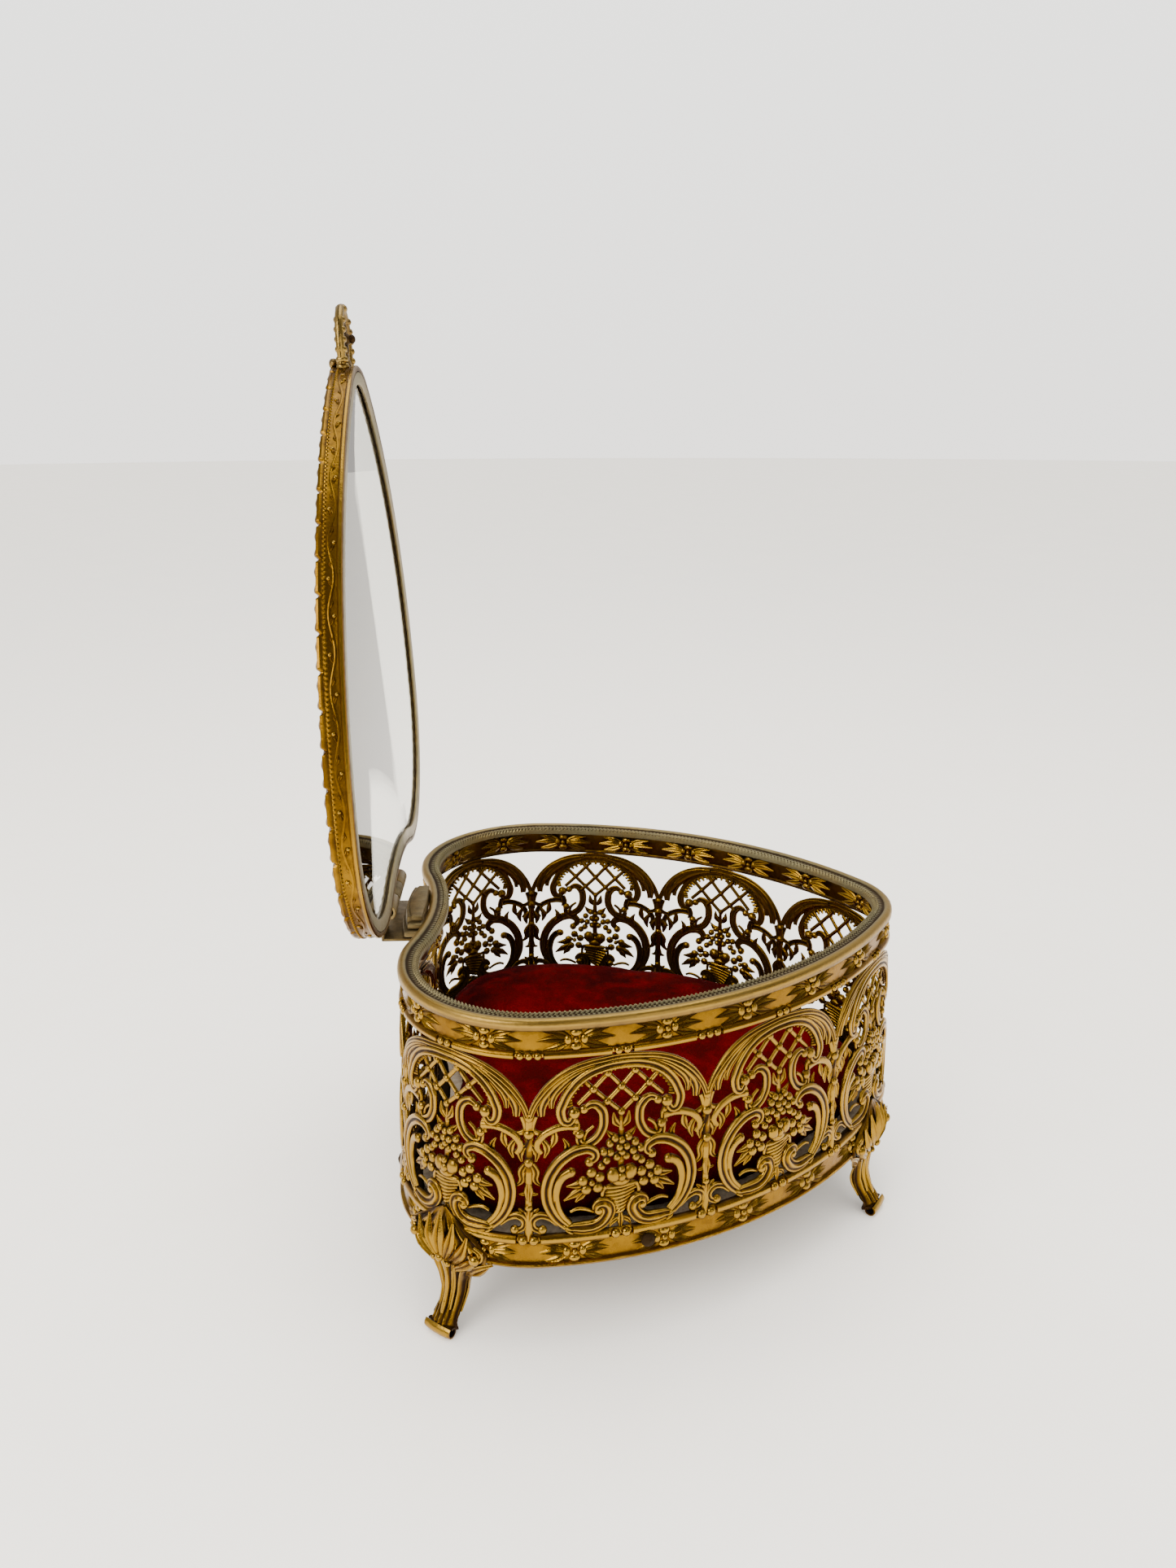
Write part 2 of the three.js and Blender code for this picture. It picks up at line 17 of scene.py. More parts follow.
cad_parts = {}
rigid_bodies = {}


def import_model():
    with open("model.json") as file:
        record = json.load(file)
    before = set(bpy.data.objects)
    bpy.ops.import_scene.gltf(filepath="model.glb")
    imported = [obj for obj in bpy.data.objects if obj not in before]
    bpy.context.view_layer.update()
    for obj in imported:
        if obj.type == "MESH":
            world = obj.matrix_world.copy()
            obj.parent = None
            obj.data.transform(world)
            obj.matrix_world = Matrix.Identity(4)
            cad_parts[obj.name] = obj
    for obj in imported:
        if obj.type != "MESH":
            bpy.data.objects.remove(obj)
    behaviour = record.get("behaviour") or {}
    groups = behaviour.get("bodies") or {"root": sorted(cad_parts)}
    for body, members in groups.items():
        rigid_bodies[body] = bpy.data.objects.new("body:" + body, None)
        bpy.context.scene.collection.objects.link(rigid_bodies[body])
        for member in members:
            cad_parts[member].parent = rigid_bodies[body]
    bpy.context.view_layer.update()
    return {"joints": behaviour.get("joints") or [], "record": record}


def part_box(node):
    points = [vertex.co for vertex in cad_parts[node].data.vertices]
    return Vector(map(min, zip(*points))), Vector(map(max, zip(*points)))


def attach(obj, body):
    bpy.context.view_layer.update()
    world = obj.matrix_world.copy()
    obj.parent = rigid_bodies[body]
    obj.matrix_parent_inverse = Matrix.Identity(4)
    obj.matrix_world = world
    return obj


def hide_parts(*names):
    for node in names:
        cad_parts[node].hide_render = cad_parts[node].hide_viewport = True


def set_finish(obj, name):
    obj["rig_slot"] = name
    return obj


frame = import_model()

MM = 0.001

# %% [markdown]
# ## Camera
# The camera stands at the left of the box, a little above the open rim, and looks along the
# glass lid, so that the lid is seen nearly edge-on. It is made first, so that every look at the
# work is taken from the same place.

# %% Camera
CAMERA_PLACE = Vector((-0.3131, 0.0251, 0.2192))
CAMERA_TURN = -0.0394
CAMERA_PITCH = 0.2993
CAMERA_ROLL = -0.0027
CAMERA_LENS = 36.83


def add_camera():
    bpy.ops.object.camera_add(location=CAMERA_PLACE)
    camera = bpy.context.object
    camera.name = "view_camera"
    across = math.cos(CAMERA_PITCH)
    ahead = Vector((across * math.cos(CAMERA_TURN), across * math.sin(CAMERA_TURN), -math.sin(CAMERA_PITCH)))
    turn = ahead.to_track_quat("-Z", "Y")
    camera.rotation_euler = (turn.to_matrix() @ Matrix.Rotation(CAMERA_ROLL, 3, "Z")).to_euler()
    camera.data.lens = CAMERA_LENS
    camera.data.sensor_width = 36
    camera.data.sensor_fit = "HORIZONTAL"
    camera.data.clip_start = 0.01
    bpy.context.scene.camera = camera
    return camera


print("camera at", tuple(add_camera().location))

# %% [markdown]
# ## The heart's outline
# The plan is a chain of tangent arcs: the point, a long side, a lobe and the hollow between the
# lobes, mirrored. A table of places all the way round turns a distance along the edge into a
# point and an outward direction, which is all that bending a flat strip needs.

# %% Outline table
HEART_LENGTH = 135.0
TIP_RADIUS = 25.3
SIDE_RADIUS = 115.3
LOBE_RADIUS = 35.5
LOBE_SPREAD = 33.8
CLEFT_RADIUS = 82.2
FLARE_OUT = 2.5
SIDE_HEIGHT = 65.0
SIDE_BOTTOM = 23.0
RIM_TOP = SIDE_BOTTOM + SIDE_HEIGHT
MIDDLE_Y = HEART_LENGTH / 2


def heart_arcs():
    """Centre, radius, first and last angle and direction of each arc of the right half."""
    tip = Vector((0, TIP_RADIUS))
    lobe = Vector((LOBE_SPREAD, HEART_LENGTH - LOBE_RADIUS))
    to_tip = SIDE_RADIUS - TIP_RADIUS
    to_lobe = SIDE_RADIUS - LOBE_RADIUS
    apart = (lobe - tip).length
    along = (to_tip ** 2 - to_lobe ** 2 + apart ** 2) / (2 * apart)
    across = math.sqrt(to_tip ** 2 - along ** 2)
    ahead = (lobe - tip).normalized()
    side = tip + ahead * along + Vector((-ahead.y, ahead.x)) * across
    cleft = Vector((0, lobe.y + math.sqrt((LOBE_RADIUS + CLEFT_RADIUS) ** 2 - lobe.x ** 2)))

    def angle(start, end):
        return math.atan2(end.y - start.y, end.x - start.x)

    tip_end = angle(side, tip)
    side_end = angle(side, lobe)
    lobe_end = angle(lobe, cleft)
    return [
        (tip, TIP_RADIUS, -math.pi / 2, tip_end, 1),
        (side, SIDE_RADIUS, tip_end, side_end, 1),
        (lobe, LOBE_RADIUS, side_end, lobe_end, 1),
        (cleft, CLEFT_RADIUS, lobe_end - math.pi, -math.pi / 2, -1),
    ]


def outline_table(samples=1500):
    rows = []
    distance = 0.0
    for centre, radius, first, last, out in heart_arcs():
        for share in np.linspace(0, 1, samples, endpoint=False):
            turn = first + (last - first) * share
            ray = (math.cos(turn), math.sin(turn))
            rows.append((distance + radius * abs(last - first) * share,
                         centre.x + radius * ray[0], centre.y + radius * ray[1],
                         out * ray[0], out * ray[1]))
        distance += radius * abs(last - first)
    rows.append((distance, 0.0, centre.y - radius, 0.0, 1.0))
    right = np.array(rows)
    left = right[::-1][1:-1].copy()
    left[:, 0] = 2 * distance - left[:, 0]
    left[:, [1, 3]] *= -1
    last = np.array([[2 * distance, 0.0, 0.0, 0.0, -1.0]])
    return np.vstack([right, left, last]), 2 * distance


OUTLINE, WAY_ROUND = outline_table()
PANEL_COUNT = 10
PITCH = WAY_ROUND / PANEL_COUNT
Y_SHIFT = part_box("rim_ring")[0].y / MM
CLEFT_Y = OUTLINE[len(OUTLINE) // 2][2]
print("way round", round(WAY_ROUND, 2), "pitch", round(PITCH, 2), "hollow at", round(CLEFT_Y, 2))

# %% [markdown]
# ## Bending a flat sheet round the heart
# A piece is modelled lying flat: x along the side, y up from the table, z outwards from the rim's
# edge. Bending moves each of its points to the matching place round the heart. The real side
# leans out a little at its foot, so the plan also grows slightly on the way down.

# %% Bend
def flare_at(height):
    low = np.maximum(height, SIDE_BOTTOM)
    return 1 + (FLARE_OUT / MIDDLE_Y) * ((RIM_TOP - low) / SIDE_HEIGHT)


def bend_points(flat, leaning=True):
    """Flat millimetres to places in metres round the heart."""
    along = np.mod(flat[:, 0], WAY_ROUND)
    x, y, nx, ny = (np.interp(along, OUTLINE[:, 0], OUTLINE[:, k]) for k in range(1, 5))
    size = np.sqrt(nx ** 2 + ny ** 2)
    x = x + nx / size * flat[:, 2]
    y = y + ny / size * flat[:, 2]
    if leaning:
        grow = flare_at(flat[:, 1])
        x = x * grow
        y = MIDDLE_Y + (y - MIDDLE_Y) * grow
    return np.column_stack([x, y + Y_SHIFT, flat[:, 1]]) * MM


def read_points(mesh):
    flat = np.zeros(len(mesh.vertices) * 3)
    mesh.vertices.foreach_get("co", flat)
    return flat.reshape(-1, 3)


def write_points(mesh, points):
    mesh.vertices.foreach_set("co", np.ascontiguousarray(points).ravel())
    mesh.update()


def bend_round(piece, start):
    points = read_points(piece.data)
    points[:, 0] += start
    write_points(piece.data, bend_points(points))
    return piece


print("the rim's point is at", bend_points(np.array([[0.0, RIM_TOP, 0.0]]))[0].round(4))

# %% [markdown]
# ## Strokes
# Every scroll, leaf and bar of the stamping is a stroke: a curve with a cross-section that swells
# and thins along its way. Blender's curves do exactly this, with a bevel profile and a radius at
# each point, so the strokes are drawn as curves and then turned into meshes.

# %% Stroke helpers
def deselect():
    bpy.ops.object.select_all(action="DESELECT")


def pick(*pieces):
    deselect()
    for piece in pieces:
        piece.select_set(True)
    bpy.context.view_layer.objects.active = pieces[0]


def merge(name, pieces):
    pick(*pieces)
    bpy.ops.object.join()
    piece = bpy.context.object
    piece.name = name
    piece.data.name = name
    return piece


def face_outwards(piece):
    pick(piece)
    bpy.ops.object.mode_set(mode="EDIT")
    bpy.ops.mesh.select_all(action="SELECT")
    bpy.ops.mesh.normals_make_consistent(inside=False)
    bpy.ops.object.mode_set(mode="OBJECT")
    return piece


def smooth(piece, angle=40):
    pick(piece)
    bpy.ops.object.shade_smooth_by_angle(angle=math.radians(angle))
    return piece


def apply_modifier(piece, name, kind, **settings):
    """Adds a modifier, sets it and applies it."""
    modifier = piece.modifiers.new(name, kind)
    for key, value in settings.items():
        setattr(modifier, key, value)
    pick(piece)
    bpy.ops.object.modifier_apply(modifier=modifier.name)


def copy_piece(piece, name):
    twin = piece.copy()
    twin.data = piece.data.copy()
    twin.name = name
    twin.data.name = name
    bpy.context.scene.collection.objects.link(twin)
    return twin


def repeat_flat(unit, count, step):
    """Points and faces of a flat unit set side by side; the unit itself is removed."""
    points = read_points(unit.data)
    faces = [list(face.vertices) for face in unit.data.polygons]
    bpy.data.objects.remove(unit)
    row = np.vstack([points + (k * step, 0, 0) for k in range(count)])
    return row, [[k * len(points) + v for v in face] for k in range(count) for face in faces]


def add_value(piece, name, values):
    layer = piece.data.attributes.new(name, "FLOAT", "POINT")
    layer.data.foreach_set("value", np.ascontiguousarray(values, dtype=float))
    return piece


def finish_piece(piece, body, slot, *nodes):
    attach(piece, body)
    if nodes:
        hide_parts(*nodes)
    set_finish(piece, slot)
    return piece


def section_curve(name, corners):
    """A closed outline used as a bevel profile: x across the stroke, y out of the sheet."""
    curve = bpy.data.curves.new(name, "CURVE")
    curve.dimensions = "2D"
    spline = curve.splines.new("POLY")
    spline.points.add(len(corners) - 1)
    for point, (across, out) in zip(spline.points, corners):
        point.co = (across, out, 0, 1)
    spline.use_cyclic_u = True
    piece = bpy.data.objects.new(name, curve)
    bpy.context.scene.collection.objects.link(piece)
    return piece


SECTIONS = {
    # hollow behind, as stamped sheet is
    "dome": section_curve("dome_section", [
        (1, 0), (0.9, 0.38), (0.62, 0.66), (0, 0.8), (-0.62, 0.66), (-0.9, 0.38), (-1, 0),
        (-0.72, -0.05), (-0.4, 0.22), (0.4, 0.22), (0.72, -0.05)]),
    # two flutes between three ridges
    "fluted": section_curve("fluted_section", [
        (1, 0), (0.96, 0.42), (0.8, 0.6), (0.6, 0.46), (0.42, 0.5), (0.2, 0.82), (-0.05, 0.84),
        (-0.25, 0.56), (-0.48, 0.48), (-0.7, 0.62), (-0.88, 0.52), (-1, 0), (-0.7, -0.05), (0, 0.2),
        (0.7, -0.05)]),
    # one groove beside a strong ridge
    "grooved": section_curve("grooved_section", [
        (1, 0), (0.95, 0.5), (0.72, 0.72), (0.4, 0.7), (0.16, 0.4), (-0.12, 0.38), (-0.4, 0.66),
        (-0.75, 0.64), (-0.95, 0.4), (-1, 0), (-0.6, -0.05), (0, 0.14), (0.6, -0.05)]),
    "bar": section_curve("bar_section", [
        (1, 0), (0.85, 0.65), (0, 0.95), (-0.85, 0.65), (-1, 0), (0, -0.2)]),
    "leaf": section_curve("leaf_section", [
        (1, 0), (0.9, 0.28), (0.45, 0.62), (0.12, 0.3), (0, 0.22), (-0.12, 0.3), (-0.45, 0.62),
        (-0.9, 0.28), (-1, 0), (0, -0.1)]),
}


def draw(name, section, strokes, steps=4, straight=False):
    """Strokes as lists of (x, y, z, half width) in one mesh."""
    curve = bpy.data.curves.new(name, "CURVE")
    curve.dimensions = "3D"
    curve.twist_mode = "Z_UP"
    curve.resolution_u = steps
    curve.bevel_mode = "OBJECT"
    curve.bevel_object = SECTIONS[section]
    curve.use_fill_caps = True
    for stroke in strokes:
        spline = curve.splines.new("POLY" if straight else "BEZIER")
        points = spline.points if straight else spline.bezier_points
        points.add(len(stroke) - 1)
        for point, (x, y, z, radius) in zip(points, stroke):
            point.co = (x, y, z, 1) if straight else (x, y, z)
            point.radius = radius
            if not straight:
                point.handle_left_type = "AUTO"
                point.handle_right_type = "AUTO"
    piece = bpy.data.objects.new(name, curve)
    bpy.context.scene.collection.objects.link(piece)
    pick(piece)
    bpy.ops.object.convert(target="MESH")
    piece = bpy.context.object
    face_outwards(piece)
    return piece


print("sections:", sorted(SECTIONS))

# %% [markdown]
# Berries, studs, petals and beads are small rounded lumps in the stamping. One low sphere is
# modelled, and every lump is a stretched copy of it, because there are hundreds of them.

# %% Lump helper
def low_sphere():
    deselect()
    bpy.ops.mesh.primitive_uv_sphere_add(segments=8, ring_count=6, radius=1)
    piece = bpy.context.object
    points = read_points(piece.data)
    faces = [list(face.vertices) for face in piece.data.polygons]
    bpy.data.objects.remove(piece)
    return points, faces


SPHERE_POINTS, SPHERE_FACES = low_sphere()


def mesh_piece(name, points, faces):
    mesh = bpy.data.meshes.new(name)
    mesh.from_pydata([tuple(p) for p in points], [], faces)
    mesh.update()
    piece = bpy.data.objects.new(name, mesh)
    bpy.context.scene.collection.objects.link(piece)
    return piece


def lumps(name, places):
    """Rounded lumps as (x, y, z, length, width, height, turn in degrees)."""
    points = []
    faces = []
    for x, y, z, length, width, height, turn in places:
        angle = math.radians(turn)
        round_points = SPHERE_POINTS * (length, width, height)
        spin = np.array([[math.cos(angle), math.sin(angle), 0], [-math.sin(angle), math.cos(angle), 0],
                         [0, 0, 1]])
        first = len(points)
        points.extend(round_points @ spin + (x, y, z))
        faces.extend([[first + k for k in face] for face in SPHERE_FACES])
    piece = mesh_piece(name, points, faces)
    piece.data.polygons.foreach_set("use_smooth", [True] * len(piece.data.polygons))
    return piece


def ball(x, y, z, radius, height=0.8):
    return (x, y, z, radius, radius, radius * height, 0)


print("one lump has", len(SPHERE_FACES), "faces")

# %% [markdown]
# ## One panel of the pierced side
# Each arch holds a lattice under a leafy hood, two big scrolls and a basket of fruit and
# flowers. The right half is drawn as strokes and mirrored, then the few parts that lean one way
# are added. Strokes that cross lie at slightly different depths, as in the real stamping.

# %% Panel strokes
BACK = -1.95
MID = -1.65
FRONT = -1.3


def taper(points, widths, z):
    """Adds depth and a half width at each point; widths are spread evenly along the stroke."""
    spread = np.interp(np.linspace(0, 1, len(points)), np.linspace(0, 1, len(widths)), widths)
    return [(x, y, z, float(w)) for (x, y), w in zip(points, spread)]


HALF_STROKES = {
    "fluted": [
        taper([(4.0, 44.6), (9.4, 43.2), (13.8, 40.9), (17.2, 37.7), (18.9, 34.6), (19.0, 31.7)],
              [0.5, 1.5, 1.75, 0.9], BACK),
        taper([(6.0, 43.8), (10.6, 42.1), (14.4, 39.3), (16.4, 36.4), (16.6, 33.7)],
              [0.4, 1.2, 1.3, 0.6], MID),
        taper([(12.9, 1.9), (11.2, 2.0), (9.0, 1.9), (5.8, 2.3), (3.6, 4.2), (3.0, 6.3), (4.1, 7.7),
               (5.5, 7.4), (5.9, 6.3)],
              [1.0, 1.7, 1.75, 1.7, 1.1], MID),
    ],
    "grooved": [
        taper([(8.8, 33.0), (7.0, 33.9), (5.0, 32.6), (4.3, 29.8), (4.8, 27.0), (7.0, 24.3),
               (9.6, 23.9), (10.4, 26.2)],
              [0.7, 1.2, 1.2, 1.15, 0.7], MID),
        taper([(7.5, 19.2), (6.2, 20.6), (7.3, 22.4), (10.0, 22.7), (13.2, 21.2), (16.1, 18.0),
               (17.6, 14.0), (17.7, 11.0), (17.0, 8.1), (15.2, 4.9), (13.0, 2.6)],
               [0.8, 1.35, 1.45, 1.35, 0.9], FRONT - 0.1),
        taper([(15.0, 3.4), (17.8, 5.6), (20.2, 5.6), (21.0, 3.2), (18.7, 1.4)], [0.7, 1.0, 0.7], MID),
    ],
    "dome": [
        taper([(12.0, 16.8), (14.0, 15.6), (15.4, 12.4), (15.4, 9.0), (14.2, 5.6), (12.2, 3.2)],
              [1.2, 1.05, 0.8], MID),
        taper([(10.4, 28.4), (13.6, 28.7), (16.8, 27.8), (19.0, 26.2), (20.0, 23.8), (19.0, 22.2)],
              [1.0, 0.95, 0.95, 0.7], MID),
        taper([(10.8, 26.6), (10.6, 28.4), (11.2, 30.2)], [0.9, 0.9], BACK),
        taper([(18.4, 26.9), (20.3, 27.4), (21.6, 28.6)], [0.6, 0.7, 0.6], BACK),
        taper([(20.4, 31.6), (21.3, 29.0), (21.5, 25.6)], [0.8, 0.9, 0.8], BACK),
    ],
    "leaf": [
        taper([(15.9, 28.0), (15.9, 25.4), (16.9, 23.2)], [0.5, 1.0, 0.25], MID),
        taper([(19.0, 26.0), (17.6, 23.4), (18.2, 20.9)], [0.5, 1.0, 0.25], MID),
        taper([(21.6, 24.6), (20.0, 22.4), (20.3, 20.0)], [0.6, 1.1, 0.3], MID),
        taper([(21.2, 19.4), (20.2, 17.4), (20.3, 15.2), (18.6, 13.4)], [0.7, 1.2, 0.25], MID),
        taper([(21.8, 12.8), (20.9, 11.6), (19.7, 11.4)], [0.7, 0.6, 0.2], MID),
        taper([(21.8, 5.0), (20.3, 6.9), (19.5, 7.6)], [0.8, 0.6, 0.2], MID),
        taper([(0.4, 27.4), (1.5, 28.7), (1.9, 31.0)], [0.5, 0.95, 0.2], MID),
        taper([(0.4, 24.4), (2.1, 25.0), (3.6, 26.6)], [0.5, 0.95, 0.2], MID),
        taper([(7.6, 14.6), (10.2, 13.3), (13.0, 12.9)], [0.5, 1.1, 0.2], MID - 0.1),
        taper([(8.0, 12.6), (11.0, 10.9), (13.6, 9.2)], [0.5, 1.1, 0.2], MID - 0.1),
        taper([(7.4, 12.2), (9.6, 10.2), (10.8, 8.6)], [0.5, 1.05, 0.2], MID - 0.1),
        taper([(0.3, 3.2), (1.7, 2.5), (2.6, 1.0)], [0.4, 0.8, 0.2], MID),
        taper([(13.6, 21.0), (12.8, 23.4), (13.8, 25.4)], [0.4, 0.9, 0.2], BACK),
    ],
    "bar": [
        taper([(4.4, 8.6), (4.3, 11.0), (3.6, 12.0)], [0.4, 0.6], MID),
        taper([(12.0, 6.0), (10.6, 6.6), (8.6, 6.4), (6.4, 5.4)], [0.35, 0.5, 0.4], BACK),
        taper([(8.9, 24.3), (8.4, 26.4), (6.6, 28.0)], [0.6, 0.5, 0.4], BACK),
    ],
}

WHOLE_STROKES = {
    "fluted": [taper([(-22.0, 30.2), (-20.9, 33.9), (-19.0, 37.1), (-16.4, 40.0), (-13.2, 42.3),
                      (-9.1, 44.0), (-4.6, 44.8), (0, 45.2), (4.6, 44.8), (9.1, 44.0), (13.2, 42.3),
                      (16.4, 40.0), (19.0, 37.1), (20.9, 33.9), (22.0, 30.2)],
                     [0.7, 1.05, 0.95, 0.95, 1.05, 0.7], FRONT - 0.2)],
    "grooved": [taper([(-11.2, 31.6), (-12.9, 29.9), (-14.5, 32.3), (-13.8, 35.3), (-12.1, 38.4),
                       (-9.4, 41.1), (-5.2, 43.0), (0, 43.6), (5.2, 43.0), (9.4, 41.1), (12.1, 38.4),
                       (13.8, 35.3), (14.5, 32.3), (12.9, 29.9), (11.2, 31.6)],
                      [0.8, 1.2, 1.2, 1.15, 1.15, 1.2, 1.2, 0.8], FRONT)],
    "bar": [taper([(0, 17.0), (0.1, 22.0), (0, 31.0)], [0.8, 0.9, 0.5], BACK),
            taper([(22, 32.4), (22, 20), (22, 9.4), (22, -0.6)], [1.1, 1.0, 0.95, 1.2], BACK)],
    "leaf": [taper([(0, 4.4), (0, 2.6), (0, 0.2)], [0.5, 1.0, 0.3], MID),
             taper([(22, 15.6), (22, 12.4), (22, 8.6)], [0.3, 1.3, 0.3], FRONT - 0.2),
             taper([(22, 7.2), (22, 5.0), (22, 3.0)], [1.5, 0.8, 0.5], MID),
             taper([(22, 25.6), (22, 23.4), (22, 20.6)], [0.9, 0.8, 0.4], MID)],
}


def finely(points, count=24):
    """The same way in many short steps, so that shading has room between the studs."""
    points = np.array(points)
    share = np.linspace(0, len(points) - 1, count)
    x = np.interp(share, range(len(points)), points[:, 0])
    y = np.interp(share, range(len(points)), points[:, 1])
    return list(zip(x.tolist(), y.tolist()))


def lattice_bars():
    rising = [
        [(-10.3, 34.0), (-6.8, 37.5), (-3.3, 41.2), (-2.0, 42.6)],
        [(-4.9, 32.8), (-3.4, 34.1), (0, 37.5), (3.3, 41.2), (4.5, 42.4)],
        [(0, 31.0), (3.4, 34.1), (6.8, 37.5), (9.6, 40.3)],
    ]
    rising = [finely(bar) for bar in rising]
    falling = [[(-x, y) for x, y in bar] for bar in rising]
    return [taper(bar, [0.58], BACK) for bar in rising] + [taper(bar, [0.58], BACK - 0.15) for bar in falling]


def hood_ribs(count=27):
    """Short ribs that stand like teeth along the inside of the hood."""
    ring = np.array([(-11.9, 33.6), (-12.2, 35.4), (-10.6, 37.9), (-8.2, 40.1), (-4.6, 41.8), (0, 42.3),
                     (4.6, 41.8), (8.2, 40.1), (10.6, 37.9), (12.2, 35.4), (11.9, 33.6)])
    share = np.linspace(0, 1, len(ring))
    ribs = []
    for at in np.linspace(0.02, 0.98, count):
        x = np.interp(at, share, ring[:, 0])
        y = np.interp(at, share, ring[:, 1])
        inward = Vector((-x, 35.0 - y)).normalized()
        ribs.append([(x - inward.x * 1.1, y - inward.y * 1.1, MID + 0.2, 0.5),
                     (x + inward.x * 0.25, y + inward.y * 0.25, MID - 0.1, 0.36)])
    return ribs


def basket_ribs():
    """The basket is a cone of slanting ribs that narrows downwards."""
    ribs = []
    for k in range(7):
        low = 5.0 + k * 0.95
        reach = np.interp(low, [5.0, 11.3], [1.3, 4.5])
        ribs.append([(-reach, low - 0.3, MID - 0.2, 0.5), (0, low + 0.25, MID + 0.25, 0.62),
                     (reach, low + 1.0, MID - 0.2, 0.5)])
    return ribs


def mirrored(stroke):
    return [(-x, y, z, w) for x, y, z, w in stroke]


BERRIES = [(-2.8, 23.4), (3.3, 23.0), (-0.5, 22.2), (1.2, 22.2), (-4.3, 21.4), (-2.7, 21.1),
           (2.8, 20.8), (4.7, 21.1), (-3.6, 19.1), (-1.1, 19.7), (1.1, 19.7), (3.5, 19.0), (-4.8, 17.8),
           (4.9, 18.0), (0, 24.0), (-1.6, 24.6), (1.6, 24.6), (0.1, 20.9)]
PETALS = [(7.1, 16.1), (9.1, 14.1), (5.1, 14.7), (8.3, 11.8), (5.6, 12.0)]


def panel_lumps():
    made = [ball(x, y, FRONT - 0.05, 1.08, 0.95) for x, y in BERRIES]
    for side in (-1, 1):
        made += [ball(side * x, y, MID + 0.15, 1.35, 0.6) for x, y in PETALS]
        made.append(ball(side * 7.1, 13.7, MID + 0.55, 0.8, 1.0))
        made.append(ball(side * 11.3, 32.0, MID + 0.1, 1.6, 0.75))
        made.append(ball(side * 9.0, 32.7, MID, 1.2, 0.8))
        made.append(ball(side * 10.0, 26.4, MID, 1.25, 0.8))
        made.append(ball(side * 7.6, 19.0, MID + 0.1, 1.25, 0.85))
        made.append(ball(side * 12.0, 16.6, MID, 1.3, 0.7))
        made.append(ball(side * 5.3, 6.0, MID + 0.1, 1.3, 0.85))
        made.append(ball(side * 18.6, 1.9, MID, 1.2, 0.7))
        made += [(side * (12.2 + k * 0.5), 1.2 + k * 1.1, MID + 0.3, 1.5, 0.5, 0.8, side * 35)
                 for k in range(2)]
    made += [(-1.8, 14.9, MID + 0.3, 1.9, 2.1, 1.2, 20), (2.1, 15.3, MID + 0.3, 1.9, 2.2, 1.2, -20),
             (0, 13.2, MID + 0.2, 2.4, 1.4, 1.1, 0), (0, 16.5, MID + 0.6, 0.95, 0.95, 1.0, 0),
             (0, 14.6, MID + 0.8, 1.1, 1.3, 0.9, 0)]
    made += [(0, 11.9, MID, 4.6, 0.75, 0.9, 3)]
    for x, y in [(-3.3, 41.2), (3.3, 41.2), (0, 37.5), (-6.8, 37.5), (6.8, 37.5), (-3.4, 34.1),
                 (3.4, 34.1), (0, 31.0)]:
        made.append(ball(x, y, BACK + 0.35, 0.95, 0.7))
    made += [ball(22, 27.2, MID, 1.5, 0.8), ball(22, 19.9, MID + 0.2, 1.3, 0.8),
             ball(22, 31.2, MID, 1.2, 0.8),
             ball(22, 7.9, MID, 1.1, 0.8)]
    return made


def flat_panel():
    pieces = []
    for section in SECTIONS:
        strokes = list(WHOLE_STROKES.get(section, []))
        for stroke in HALF_STROKES.get(section, []):
            strokes += [stroke, mirrored(stroke)]
        if section == "bar":
            strokes += basket_ribs()
        pieces.append(draw("panel_" + section, section, strokes, steps=4))
    pieces.append(draw("panel_lattice", "bar", lattice_bars() + hood_ribs(), straight=True))
    pieces.append(lumps("panel_lumps", panel_lumps()))
    return merge("panel_flat", pieces)


panel_flat = flat_panel()
print("one panel:", len(panel_flat.data.vertices), "points,", len(panel_flat.data.polygons), "faces")

# %% [markdown]
# ## Where dirt gathers, and painted shade on the back
# The high places of old brass are rubbed bright and the hollows stay brown. Rays sent out from
# every point of the flat sheet count how much of the open space in front it can see, and the
# hidden share is stored on the mesh as "hollow", which the brass reads. The back of the sheet,
# which faces into the box, gets a fixed middle value instead: painted shade.

# %% Hollow attribute
def ray_fan():
    rays = [Vector((0, 0, 1))]
    for tilt, count in ((35, 5), (68, 7)):
        for k in range(count):
            turn = 2 * math.pi * (k + 0.5 * (count % 2)) / count
            low = math.radians(tilt)
            rays.append(Vector((math.sin(low) * math.cos(turn), math.sin(low) * math.sin(turn),
                                math.cos(low))))
    return rays


RAYS = ray_fan()


def creases(mesh):
    """How far each point lies below its neighbours: above 0 in a groove, below 0 on a ridge."""
    points = read_points(mesh)
    normals = np.zeros(len(mesh.vertices) * 3)
    mesh.vertices.foreach_get("normal", normals)
    normals = normals.reshape(-1, 3)
    ends = np.zeros(len(mesh.edges) * 2, dtype=np.int32)
    mesh.edges.foreach_get("vertices", ends)
    first, second = ends.reshape(-1, 2).T
    way = points[second] - points[first]
    way /= np.maximum(np.linalg.norm(way, axis=1), 1e-9)[:, None]
    total = np.zeros(len(points))
    count = np.zeros(len(points))
    np.add.at(total, first, np.einsum("ij,ij->i", normals[first], way))
    np.add.at(total, second, -np.einsum("ij,ij->i", normals[second], way))
    np.add.at(count, first, 1)
    np.add.at(count, second, 1)
    return total / np.maximum(count, 1)


